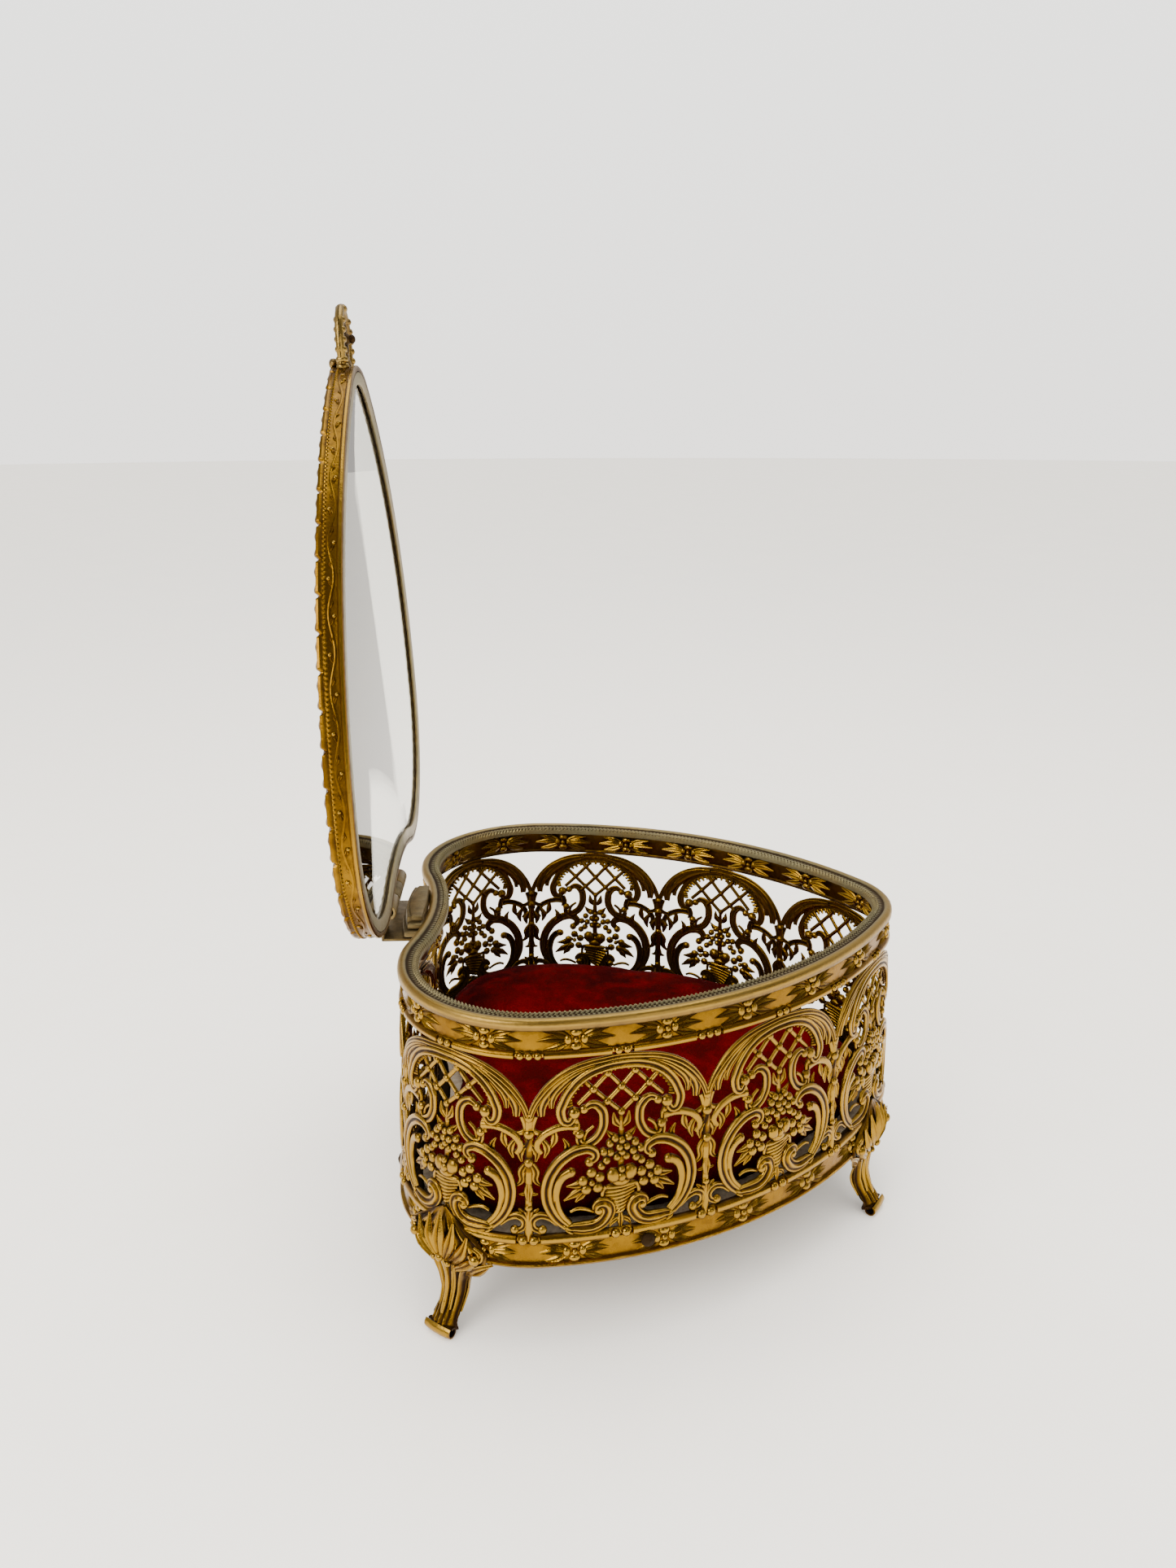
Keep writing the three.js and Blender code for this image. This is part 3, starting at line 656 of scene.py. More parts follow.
def mark_hollows(piece, reach=3.2, depth=0.12, floor=BACK, top=FRONT + 1.0):
    mesh = piece.data
    groove = np.clip(creases(mesh) * 2.2, -0.25, 0.7)
    tree = BVHTree.FromPolygons([v.co for v in mesh.vertices], [p.vertices for p in mesh.polygons])
    hidden = []
    for vertex in mesh.vertices:
        place = vertex.co + Vector((0, 0, 0.03)) + vertex.normal * 0.04
        blocked = 0
        for ray in RAYS:
            hit = tree.ray_cast(place, ray, reach)[0]
            blocked += hit is not None
        low = 1 - min(max((vertex.co.z - floor) / (top - floor), 0), 1)
        value = blocked / len(RAYS) * 1.25 + depth * low
        # Points on the back of the sheet face into the box and get a fixed middle value: painted shade for
        # the box's inside.
        if vertex.normal.z < -0.25:
            value = 0.36
        hidden.append(min(1.0, max(0.0, value + groove[vertex.index])))
    add_value(piece, "hollow", hidden)
    print(piece.name, "mean hollow", round(sum(hidden) / len(hidden), 2))


mark_hollows(panel_flat)

# %% [markdown]
# The sheet is repeated and bent: one panel for each pitch of the way round.

# %% Bend the panels
PANEL_RAISE = 7.9
PANEL_STRETCH = 1.018


def make_panel(index):
    piece = copy_piece(panel_flat, f"side_panel_{index + 1}")
    points = read_points(piece.data)
    points[:, 1] = SIDE_BOTTOM + PANEL_RAISE + points[:, 1] * PANEL_STRETCH
    write_points(piece.data, points)
    bend_round(piece, (index + 0.5) * PITCH)
    return finish_piece(piece, "casket", "gilt_brass", f"gallery_panel_{index + 1}")


side_pieces = [make_panel(index) for index in range(PANEL_COUNT)]
bpy.data.objects.remove(panel_flat)
print(len(side_pieces), "panels bent")

# %% [markdown]
# ## Rings that run all the way round
# The rim, the two bands and the lid's frame are strips with one section all the way round the
# heart. A section is a closed outline of heights and offsets. It is carried round in many small
# steps, and a finish function may raise or lower each point to cut teeth or scallops.

# %% Ring helper
def ring(name, section, steps, shape=None, leaning=True):
    """A closed ring from (height, offset) corners; shape changes the flat points."""
    count = len(section)
    along = np.arange(steps) * WAY_ROUND / steps
    flat = np.zeros((steps, count, 3))
    flat[:, :, 0] = along[:, None]
    flat[:, :, 1] = [height for height, _ in section]
    flat[:, :, 2] = [offset for _, offset in section]
    if shape:
        flat = shape(flat)
    faces = []
    for i in range(steps):
        j = (i + 1) % steps
        faces += [[i * count + k, j * count + k, j * count + (k + 1) % count, i * count + (k + 1) % count]
                  for k in range(count)]
    piece = mesh_piece(name, bend_points(flat.reshape(-1, 3), leaning), faces)
    face_outwards(piece)
    return smooth(piece)



# %% [markdown]
# ## The rim
# The rim is a flat ring with a rounded bead outside, a recessed grey channel, and an inner edge
# that was milled with fine slanting teeth. The teeth are cut by sinking the inner edge in a slanting wave.

# %% Rim
RIM_SECTION = [(-2.85, -0.5), (-2.35, -0.08), (-1.4, 0.0), (-0.6, -0.16), (-0.15, -0.65), (0.0, -1.3),
               (-0.12, -1.9), (-0.45, -2.2), (-0.62, -2.4), (-0.62, -3.6), (-0.4, -3.72), (-0.22, -4.0),
               (-0.2, -4.6), (-0.3, -5.15), (-0.8, -5.4), (-2.3, -5.4), (-2.5, -4.9), (-2.7, -2.6)]
TOOTH_PITCH = 1.25


def cut_teeth(flat):
    slant = flat[:, :, 0] + 0.9 * (flat[:, :, 2] + 4.0)
    wave = np.sin(2 * math.pi * slant / TOOTH_PITCH)
    inner = (flat[:, :, 2] < -3.7) & (flat[:, :, 1] > RIM_TOP - 1.2)
    flat[:, :, 1] -= np.where(inner, 0.26 - 0.26 * np.tanh(3 * wave), 0)
    return flat


def make_rim():
    section = [(RIM_TOP + height, offset) for height, offset in RIM_SECTION]
    steps = int(round(WAY_ROUND / TOOTH_PITCH)) * 4
    piece = ring("rim_ring_milled", section, steps, cut_teeth, leaning=False)
    grey = [0.3, 0.3, 0.25, 0.2, 0.2, 0.4, 0.7, 1.0, 1.0, 1.0, 1.0, 0.95, 0.9, 0.9, 0.95, 0.9, 0.8, 0.8]
    dirt = [0.9, 0.6, 0.3, 0.2, 0.15, 0.15, 0.2, 0.5, 0.5, 0.3, 0.42, 0.2, 0.1, 0.1, 0.25, 0.6, 0.8, 0.9]
    add_value(piece, "tarnish", np.tile(grey, steps))
    notches = np.clip(creases(piece.data) * 4, -0.3, 0.8)
    add_value(piece, "hollow", np.clip(np.tile(dirt, steps) + notches, 0, 1))
    return finish_piece(piece, "casket", "tarnished_brass", "rim_ring")


rim = make_rim()
print("rim faces:", len(rim.data.polygons))

# %% [markdown]
# ## The two flower bands
# Above and below the arches runs a strip stamped with four-petalled flowers, two to a panel,
# each between two sprays of three pointed leaves. A rounded bar, broken by small beads, closes
# the strip on the side of the arches.

# %% Bands
STRIP = -1.45


def flower(x, y):
    """Strokes and lumps of one flower with its leaves, at a place on the strip."""
    leaves = []
    for side in (-1, 1):
        for points in ([(1.8, 0.7), (4.2, 1.75), (7.8, 2.3)], [(2.2, 0.0), (5.2, 0.3), (9.4, -0.1)],
                       [(1.8, -0.7), (4.2, -1.65), (7.6, -2.3)]):
            leaves.append([(x + side * px, y + py, STRIP, w)
                           for (px, py), w in zip(points, (0.7, 1.15, 0.2))])
    petals = [(x, y + 1.75, STRIP, 1.55, 1.1, 1.0, 0), (x, y - 1.75, STRIP, 1.55, 1.1, 1.0, 0),
              (x + 1.9, y, STRIP, 1.05, 1.45, 1.0, 0), (x - 1.9, y, STRIP, 1.05, 1.45, 1.0, 0),
              (x, y, STRIP + 0.3, 0.8, 0.8, 0.9, 0)]
    return leaves, petals


def ornament(name, flower_height, bar_height, bead_counts, bead_radius, scale, mirror=0.0):
    """All the flowers and beads of one pitch, copied ten times along the flat strip. A mirror
    depth puts them on the inside of the sheet."""
    leaves = []
    petals = []
    for quarter in (0.25, 0.75):
        more_leaves, more_petals = flower(quarter * PITCH, 0)
        leaves += more_leaves
        petals += more_petals
    leaves = [[(x, flower_height + y * scale, z, w * scale) for x, y, z, w in stroke] for stroke in leaves]
    petals = [(x, flower_height + y * scale, z, a * scale, b * scale, c, t) for x, y, z, a, b, c, t in petals]
    for centre, count in zip((0.0, 0.5 * PITCH), bead_counts):
        for k in range(count):
            across = (k - (count - 1) / 2) * 2.1 * bead_radius
            petals.append(ball(centre + across, bar_height, -0.85, bead_radius, 0.75))
    unit = merge(name, [draw(name + "_leaves", "leaf", leaves, steps=3), lumps(name + "_lumps", petals)])
    flat, faces = repeat_flat(unit, PANEL_COUNT, PITCH)
    if mirror:
        flat[:, 2] = mirror - 0.7 * (flat[:, 2] - STRIP) + STRIP - 0.75 * STRIP
    piece = mesh_piece(name, bend_points(flat), faces)
    face_outwards(piece)
    # Flowers on the inside of the sheet get a fixed value: painted shade for the inside of the box.
    low = np.clip((-0.95 - flat[:, 2]) / 0.6, 0, 1) if not mirror else 0.3
    groove = np.clip(creases(piece.data) * 2.2, -0.2, 0.8)
    add_value(piece, "hollow", np.clip(low * 0.8 + groove + 0.05, 0, 1))
    return smooth(piece, 50)


def plain_strip(name, section, dirt, middle, bar, bead_counts, bead_radius, steps=1320):
    """A band's sheet; it is bright between the flowers and brown close round them. The bar
    stops short on both sides of each group of beads."""
    def stop_bar(flat):
        along = np.mod(flat[:, :, 0] / PITCH + 0.25, 1) - 0.25
        for centre, count in zip((0.0, 0.5), bead_counts):
            close = np.abs(along - centre) * PITCH < count * 1.05 * bead_radius + 0.3
            on_bar = (np.abs(flat[:, :, 1] - bar) < 1.3) & (flat[:, :, 2] > -1.2)
            flat[:, :, 2] -= np.where(close & on_bar, 0.85, 0)
        return flat

    piece = ring(name, section, steps, stop_bar)
    along = np.repeat(np.arange(steps) * WAY_ROUND / steps, len(section))
    height = np.tile([corner[0] for corner in section], steps)
    offset = np.tile([corner[1] for corner in section], steps)
    to_flower = np.abs(np.mod(along / PITCH, 0.5) - 0.25) * PITCH
    near = np.clip((10.9 - to_flower) / 3.5, 0, 1)
    sheet = (np.abs(height - middle) < 2.9) & (offset > -1.7)
    values = np.tile(dirt, steps)
    add_value(piece, "hollow", np.where(sheet, np.maximum(values * 0.4, 0.34 * near), values))
    return piece


def make_upper_band():
    low = SIDE_BOTTOM + 54.9
    top = RIM_TOP - 3.2
    section = [(low, -1.9), (low, -1.0), (low + 0.35, -0.55), (low + 0.95, -0.42), (low + 1.55, -0.55),
               (low + 1.9, -1.0), (low + 2.05, STRIP), (low + 3.2, STRIP + 0.08), (low + 5.2, STRIP + 0.08),
               (top - 0.25, STRIP), (top, -1.5), (top, -2.35), (low + 2.0, -2.35), (low + 0.9, -1.6)]
    # The two values on the band's inner face, at offset -2.35, are painted shade for the inside of the box.
    dirt = [0.9, 0.5, 0.1, 0.0, 0.15, 0.5, 0.9, 0.4, 0.4, 0.95, 1.0, 0.45, 0.4, 0.5]
    strip = plain_strip("upper_strip", section, dirt, low + 4.4, low + 0.95, (3, 2), 1.0)
    flowers = ornament("upper_flowers", low + 4.55, low + 0.95, (3, 2), 1.0, 1.0)
    inside = ornament("upper_flowers_inside", low + 4.55, low + 0.95, (0, 0), 1.1, 0.95, -3.75)
    return finish_piece(merge("upper_flower_band", [strip, flowers, inside]), "casket", "gilt_brass",
                        "upper_band")


def make_lower_band():
    low = SIDE_BOTTOM
    section = [(low, -1.5), (low + 0.1, -0.6), (low + 0.6, -0.35), (low + 1.05, -0.5),
               (low + 1.25, STRIP + 0.2), (low + 3.0, STRIP + 0.3), (low + 5.2, STRIP + 0.2),
               (low + 6.3, STRIP + 0.2), (low + 6.5, -0.7), (low + 7.1, -0.35), (low + 8.0, -0.4),
               (low + 8.6, -0.9), (low + 8.7, -1.6), (low + 8.3, -2.3), (low + 0.4, -2.3)]
    dirt = [0.9, 0.3, 0.0, 0.2, 0.9, 0.5, 0.5, 0.9, 0.3, 0.0, 0.05, 0.5, 0.8, 1.0, 1.0]
    strip = plain_strip("lower_strip", section, dirt, low + 3.7, low + 7.5, (2, 2), 1.25)
    flowers = ornament("lower_flowers", low + 3.7, low + 7.5, (2, 2), 1.25, 1.05)
    return finish_piece(merge("lower_flower_band", [strip, flowers]), "casket", "gilt_brass", "lower_band")


upper_band = make_upper_band()
lower_band = make_lower_band()
print("band faces:", len(upper_band.data.polygons), len(lower_band.data.polygons))

# %% [markdown]
# ## The feet
# Each foot is a stamped leaf: it spreads into two wings over the lower band, draws in to a fluted
# ankle and rolls outwards at the toe. A grid is shaped by a side view and a front view, folded
# into flutes, given a wall, and finished with scroll strokes, leaf tips and the rolled toe.

# %% Feet
FOOT_PLACES = {"front_left": 0.95, "front_right": 0.05, "back_right": 0.35, "back_left": 0.65}
FOOT_SIDE = np.array([(0.4, 1.9), (2.2, 2.2), (3.4, 2.4), (5.0, 1.2), (7.5, -0.5), (10.5, -1.5),
                      (14, -1.5), (18, -0.7), (22, 0.2), (26, 0.7), (29, 0.8), (32, 0.5), (35.0, 0.0)])
FOOT_FRONT = np.array([(1.2, 3.9), (3.6, 3.8), (6, 3.5), (10, 4.0), (14, 5.0), (17.5, 6.6), (20.5, 9.0),
                       (23, 11.8), (25.5, 12.2), (28.5, 9.5), (31, 6.2), (33.5, 3.4), (35.0, 0.6)])


def foot_surface():
    deselect()
    bpy.ops.mesh.primitive_grid_add(x_subdivisions=56, y_subdivisions=46, size=2)
    piece = bpy.context.object
    bpy.ops.object.transform_apply(location=True, rotation=True, scale=True)
    points = read_points(piece.data)
    share = (points[:, 1] + 1) / 2
    height = 1.4 + share * 33.6
    half = np.interp(height, FOOT_FRONT[:, 0], FOOT_FRONT[:, 1])
    out = np.interp(height, FOOT_SIDE[:, 0], FOOT_SIDE[:, 1])
    across = points[:, 0]
    fade = np.clip((34 - height) / 4, 0, 1) * np.clip((height - 2) / 3, 0, 1)
    flutes = 0.4 * np.cos(across * math.pi * 6) * fade
    curl = -1.6 * np.abs(across) ** 3 * np.clip((22 - height) / 14, 0.1, 1)
    crown = 1.0 * (1 - across ** 2) * np.clip((24 - height) / 10, 0.2, 1)
    flat = np.column_stack([across * half, height, out + flutes + curl + crown - 0.6])
    hollow = np.clip(0.5 - flutes / 0.7, 0, 1) * 0.8
    edge = np.clip((np.abs(across) - 0.8) * 3, 0, 0.5)
    write_points(piece.data, flat)
    add_value(piece, "hollow", np.clip(hollow + edge, 0, 1))
    apply_modifier(piece, "wall", "SOLIDIFY", thickness=0.8, offset=-1)
    return piece


def foot_dip(x, height):
    """How much lower the foot's face is at x than along its middle."""
    across = min(abs(x) / float(np.interp(height, FOOT_FRONT[:, 0], FOOT_FRONT[:, 1])), 1.0)
    curl = 1.6 * across ** 3 * min(max((22 - height) / 14, 0.1), 1)
    crown = across ** 2 * min(max((24 - height) / 10, 0.2), 1)
    return curl + crown


def foot_strokes():
    half = {
        "grooved": [
            taper([(3.4, 5.5), (3.9, 10.0), (5.2, 15.0), (7.2, 18.8), (10.2, 21.6), (13.6, 23.4)],
                  [0.5, 0.8, 1.0, 0.9, 0.4], 0.1),
            taper([(9.0, 27.4), (10.6, 26.2), (10.3, 24.4), (8.6, 24.2), (8.2, 25.4)], [0.6, 0.9, 0.7], 0.3),
        ],
        "leaf": [
            taper([(1.2, 22.0), (3.0, 27.0), (3.6, 32.6)], [0.8, 1.6, 0.3], 0.9),
            taper([(2.6, 21.0), (5.8, 25.0), (7.4, 30.0)], [0.8, 1.6, 0.3], 0.75),
            taper([(3.6, 19.0), (7.4, 22.0), (11.4, 27.0)], [0.8, 1.5, 0.3], 0.6),
            taper([(6.0, 17.5), (9.4, 19.4), (13.0, 23.0)], [0.7, 1.2, 0.3], 0.2),
            taper([(1.4, 6.5), (1.7, 13.0), (3.0, 20.5)], [0.45, 0.7, 0.5], 0.55),
        ],
    }
    whole = {"leaf": [taper([(0, 22.5), (0, 28.0), (0, 34.6)], [0.9, 1.9, 0.3], 1.1)],
             "dome": [taper([(0, 5.5), (0, 13.0), (0, 22.0)], [0.45, 0.6, 0.5], 0.75)]}
    pieces = []
    for section in ("grooved", "leaf", "dome"):
        strokes = list(whole.get(section, []))
        for stroke in half.get(section, []):
            strokes += [stroke, mirrored(stroke)]
        follow = []
        for stroke in strokes:
            lean = [float(np.interp(y, FOOT_SIDE[:, 0], FOOT_SIDE[:, 1])) - foot_dip(x, y)
                    for x, y, z, w in stroke]
            follow.append([(x, y, z + out - 0.35, w) for (x, y, z, w), out in zip(stroke, lean)])
        pieces.append(draw("foot_" + section, section, follow, steps=5))
    lumps_piece = lumps("foot_lumps", [ball(side * 9.4, 24.4, 0.9, 1.4, 0.8) for side in (-1, 1)]
                        + [ball(0, 22.0, 1.3, 1.1, 0.8), ball(-2.2, 20.8, 1.0, 0.8),
                           ball(2.2, 20.8, 1.0, 0.8)])
    return merge("foot_strokes", pieces + [lumps_piece])


TOE_RADIUS = 1.75
TOE_INNER_RADIUS = 1.05
TOE_OUT = 1.95
TOE_HALF_WIDTH = 3.6
TOE_TURNS = 22


def toe_roll():
    """The toe is the sheet's end rolled into a hollow scroll, open at both ends."""
    turns = np.linspace(math.radians(60), math.radians(-290), TOE_TURNS)
    radius = np.linspace(TOE_RADIUS, TOE_INNER_RADIUS, TOE_TURNS)
    steps = 9
    points = []
    for side in np.linspace(-1, 1, steps):
        bulge = 1 - 0.12 * side ** 2
        for turn, r in zip(turns, radius):
            points.append((side * TOE_HALF_WIDTH, TOE_RADIUS + r * bulge * math.sin(turn),
                           TOE_OUT + r * bulge * math.cos(turn)))
    starts = [i * TOE_TURNS + k for i in range(steps - 1) for k in range(TOE_TURNS - 1)]
    faces = [[at, at + 1, at + TOE_TURNS + 1, at + TOE_TURNS] for at in starts]
    piece = mesh_piece("foot_toe", points, faces)
    apply_modifier(piece, "wall", "SOLIDIFY", thickness=0.45, offset=0)
    inside = read_points(piece.data)
    near = np.hypot(inside[:, 1] - TOE_RADIUS, inside[:, 2] - TOE_OUT)
    add_value(piece, "hollow", np.clip((TOE_RADIUS - near) * 1.3, 0, 1))
    return face_outwards(piece)


def make_foot(corner, place, pattern):
    piece = copy_piece(pattern, f"leaf_foot_{corner}")
    bend_round(piece, place * WAY_ROUND)
    return finish_piece(piece, "casket", "gilt_brass", f"foot_{corner}")


def make_feet():
    strokes = foot_strokes()
    add_value(strokes, "hollow", np.clip(0.12 + creases(strokes.data) * 2.2, 0, 1))
    pattern = merge("foot_flat", [foot_surface(), strokes, toe_roll()])
    points = read_points(pattern.data)
    points[:, 1] = np.maximum(points[:, 1], 0.0)
    write_points(pattern.data, points)
    smooth(pattern, 50)
    feet = [make_foot(corner, place, pattern) for corner, place in FOOT_PLACES.items()]
    bpy.data.objects.remove(pattern)
    return feet


feet = make_feet()
print("foot faces:", len(feet[0].data.polygons))

# %% [markdown]
# ## The lid, made closed and then opened
# The lid is modelled lying on the rim, where its plan is the same heart, and is then turned about
# the hinge pin to the angle at which it stands open. The turn goes into the meshes, so that every
# finished piece keeps its object at the origin.

# %% Opening the lid
HINGE_PLACE = Vector(frame["joints"][0]["pos_m"])
OPEN_ANGLE = math.radians(-92)
LID_BOTTOM = RIM_TOP + 0.3
LID_TOP = LID_BOTTOM + 5.7


def open_lid(piece):
    to_pin = Matrix.Translation(-HINGE_PLACE)
    from_pin = Matrix.Translation(HINGE_PLACE)
    turn = from_pin @ Matrix.Rotation(OPEN_ANGLE, 4, "X") @ to_pin
    piece.data.transform(turn)
    piece.data.update()
    return piece


print("the pin is at", tuple(round(v, 4) for v in HINGE_PLACE))

# %% [markdown]
# ### The lid's frame
# A brass band goes round the glass. Its side carries a row of tiny beads and a trailing vine, and
# its upper edge is cut into shallow scallops. A narrow grey ring holds the glass from below.

# %% Lid frame
SCALLOP = WAY_ROUND / 52
BEAD_PITCH = 1.1
VINE_COUNT = 26
VINE_LENGTH = WAY_ROUND / VINE_COUNT
LID_SECTION = [(0.0, -1.9), (0.0, -0.9), (0.25, -0.55), (0.75, -0.5), (1.1, -0.75), (1.3, -0.95),
               (3.5, -0.95), (3.7, -0.85), (3.95, -0.55), (4.2, -0.55), (4.4, -0.85), (4.7, -0.85),
               (5.2, -0.6), (5.75, -0.75), (5.95, -1.4), (5.8, -2.6), (5.75, -3.6), (5.55, -4.7),
               (5.1, -4.9), (5.0, -1.9)]


def scallop_edge(flat):
    along = flat[:, :, 0]
    wave = np.abs(np.mod(along / SCALLOP, 1) - 0.5) * 2
    notch = np.clip((wave - 0.82) / 0.18, 0, 1)
    corner = (flat[:, :, 1] > LID_BOTTOM + 4.6) & (flat[:, :, 2] > -1.9)
    flat[:, :, 1] -= np.where(corner, 0.75 * notch, 0)
    flat[:, :, 2] -= np.where(corner, 0.5 * notch, 0)
    row = (np.abs(flat[:, :, 1] - LID_BOTTOM - 4.08) < 0.2) & (flat[:, :, 2] > -0.7)
    flat[:, :, 2] -= np.where(row, 0.2 - 0.2 * np.cos(2 * math.pi * along / BEAD_PITCH), 0)
    leaf = (flat[:, :, 2] < -1.2) & (flat[:, :, 1] > LID_BOTTOM + 5.4)
    wave = np.cos(2 * math.pi * (along - 0.5 * SCALLOP + flat[:, :, 2]) / (SCALLOP / 2))
    flat[:, :, 1] += np.where(leaf, 0.22 * wave, 0)
    return flat


def vine_unit():
    """One length of the vine: a wave with small leaves and buds on both sides."""
    length = VINE_LENGTH
    z = -1.0
    mid = LID_BOTTOM + 2.45
    stem = [[(length * k / 8, mid + 0.62 * math.sin(2 * math.pi * k / 8), z, 0.3) for k in range(9)]]
    leaves = []
    for share, side in ((0.1, 1), (0.32, 1), (0.6, -1), (0.85, -1)):
        x = share * length
        y = mid + 0.62 * math.sin(2 * math.pi * share)
        leaves.append([(x, y, z, 0.25), (x + 1.2, y - side * 0.55, z + 0.05, 0.55),
                       (x + 2.5, y - side * 0.5, z, 0.12)])
    buds = [ball(0.22 * length, mid - 0.55, z, 0.55, 0.8), ball(0.72 * length, mid + 0.6, z, 0.55, 0.8)]
    return merge("vine_unit", [draw("vine_stem", "bar", stem, steps=2),
                               draw("vine_leaves", "leaf", leaves, steps=2),
                               lumps("vine_buds", buds)])


def make_vine():
    flat, faces = repeat_flat(vine_unit(), VINE_COUNT, VINE_LENGTH)
    piece = mesh_piece("vine", bend_points(flat, leaning=False), faces)
    face_outwards(piece)
    add_value(piece, "hollow", np.clip((-0.6 - flat[:, 2]) / 0.6, 0, 1) * 0.6)
    return smooth(piece, 50)


def make_lid_band():
    section = [(LID_BOTTOM + height, offset) for height, offset in LID_SECTION]
    steps = 1600
    band = ring("lid_strip", section, steps, scallop_edge, leaning=False)
    dirt = [0.6, 0.3, 0.05, 0.05, 0.3, 0.34, 0.34, 0.4, 0.12, 0.12, 0.6, 0.5, 0.2, 0.3, 0.5, 0.5, 0.6,
            0.5, 0.7, 0.9]
    add_value(band, "hollow", np.tile(dirt, steps))
    piece = merge("lid_frame", [band, make_vine()])
    return finish_piece(open_lid(piece), "lid", "gilt_brass", "lid_band")


def make_retainer():
    section = [(LID_BOTTOM + h, o) for h, o in ((0.0, -2.1), (0.0, -4.4), (0.25, -4.95), (0.75, -5.0),
                                                (0.8, -2.1))]
    piece = ring("lid_inner_ring", section, 440, leaning=False)
    add_value(piece, "tarnish", np.full(440 * 5, 0.9))
    add_value(piece, "hollow", np.tile([0.3, 0.1, 0.1, 0.6, 0.6], 440))
    return finish_piece(open_lid(piece), "lid", "tarnished_brass", "lid_retainer")


lid_band = make_lid_band()
make_retainer()
print("lid frame faces:", len(lid_band.data.polygons))

# %% [markdown]
# ### The glass
# The pane is a clear heart with a wide bevel ground round its upper face. Rings of points step in
# from the edge, and the flat middle is closed with one face above and one below.

# %% Glass
def heart_rings(name, rings, steps):
    """A closed body from rings of (height, offset), with its first and last ring filled."""
    along = np.arange(steps) * WAY_ROUND / steps
    flat = np.vstack([np.column_stack([along, np.full(steps, h), np.full(steps, o)]) for h, o in rings])
    faces = []
    for r in range(len(rings) - 1):
        for i in range(steps):
            j = (i + 1) % steps
            faces.append([r * steps + i, r * steps + j, (r + 1) * steps + j, (r + 1) * steps + i])
    faces.append(list(range(steps))[::-1])
    faces.append([(len(rings) - 1) * steps + i for i in range(steps)])
    piece = mesh_piece(name, bend_points(flat, leaning=False), faces)
    return face_outwards(piece)


def make_glass():
    low = LID_BOTTOM + 1.1
    rings = [(low, -2.6), (low + 0.2, -2.3), (low + 1.7, -2.3), (low + 1.9, -2.5), (low + 3.45, -12.0)]
    piece = heart_rings("lid_pane", rings, 330)
    smooth(piece, 12)
    return finish_piece(open_lid(piece), "lid", "lid_glass", "lid_glass")


lid_glass = make_glass()
print("glass faces:", len(lid_glass.data.polygons))

# %% [markdown]
# ### The lifting loop
# At the lid's point sits a cast loop: a small arch with a hole, a boss in the middle, and beads
# that climb both sides. Its foot grips the band with a cluster of beads.

# %% Lifting loop
def pull_strokes():
    """Flat, with x across, y away from the lid's point, and z up through the lid."""
    arch = [(5.6, 0.4), (6.0, 4.2), (5.3, 8.2), (3.4, 11.4), (0.0, 12.9), (-3.4, 11.4), (-5.3, 8.2),
            (-6.0, 4.2), (-5.6, 0.4)]
    inner = [(3.0, 1.4), (3.4, 4.6), (3.2, 7.4), (1.9, 9.4), (0, 10.2), (-1.9, 9.4), (-3.2, 7.4),
             (-3.4, 4.6), (-3.0, 1.4)]
    curls = [[(3.2, 1.2), (1.5, 2.3), (0.9, 3.9), (1.8, 4.9), (2.6, 4.2)]]
    thick = draw("pull_arch", "dome", [taper(arch, [1.2, 1.3, 1.15, 1.3, 1.2], 0.2)], steps=5)
    back = draw("pull_back", "dome", [taper(arch, [1.2, 1.3, 1.15, 1.3, 1.2], 0.0)], steps=5)
    back.data.transform(Matrix.Scale(-1, 4, Vector((0, 0, 1))))
    face_outwards(back)
    ring_inner = draw("pull_inner", "bar", [taper(inner, [0.7], -0.35)], steps=5)
    curl = []
    for stroke in curls:
        shaped = taper(stroke, [0.7, 0.6], 0.1)
        curl += [shaped, mirrored(shaped)]
    curl_piece = draw("pull_curls", "bar", curl, steps=5)
    return [thick, back, ring_inner, curl_piece]


def pull_lumps():
    made = []
    for side in (-1, 1):
        for k in range(5):
            y = 1.2 + k * 2.25
            x = np.interp(y, [0, 4.2, 8.2, 11.4], [5.9, 6.1, 5.4, 3.6])
            made += [(side * x, y, 0, 1.15, 1.15, 1.55, 0)]
        made += [(side * 2.2, -0.8, 0.2, 1.3, 1.3, 1.6, 0), (side * 4.5, -0.4, 0.2, 1.3, 1.3, 1.6, 0)]
    made += [(0, 12.9, 0, 1.9, 1.25, 1.5, 0), (0, 6.0, 0, 1.5, 1.5, 1.9, 0), (0, 0.4, 0.6, 1.9, 1.6, 1.9, 0),
             (0, 3.4, 0.0, 0.9, 1.3, 1.0, 0), (0, 8.6, 0.0, 0.9, 1.3, 0.9, 0)]
    made += [(0, 6.0, -1.9, 1.1, 1.1, 0.9, 0)]
    return made


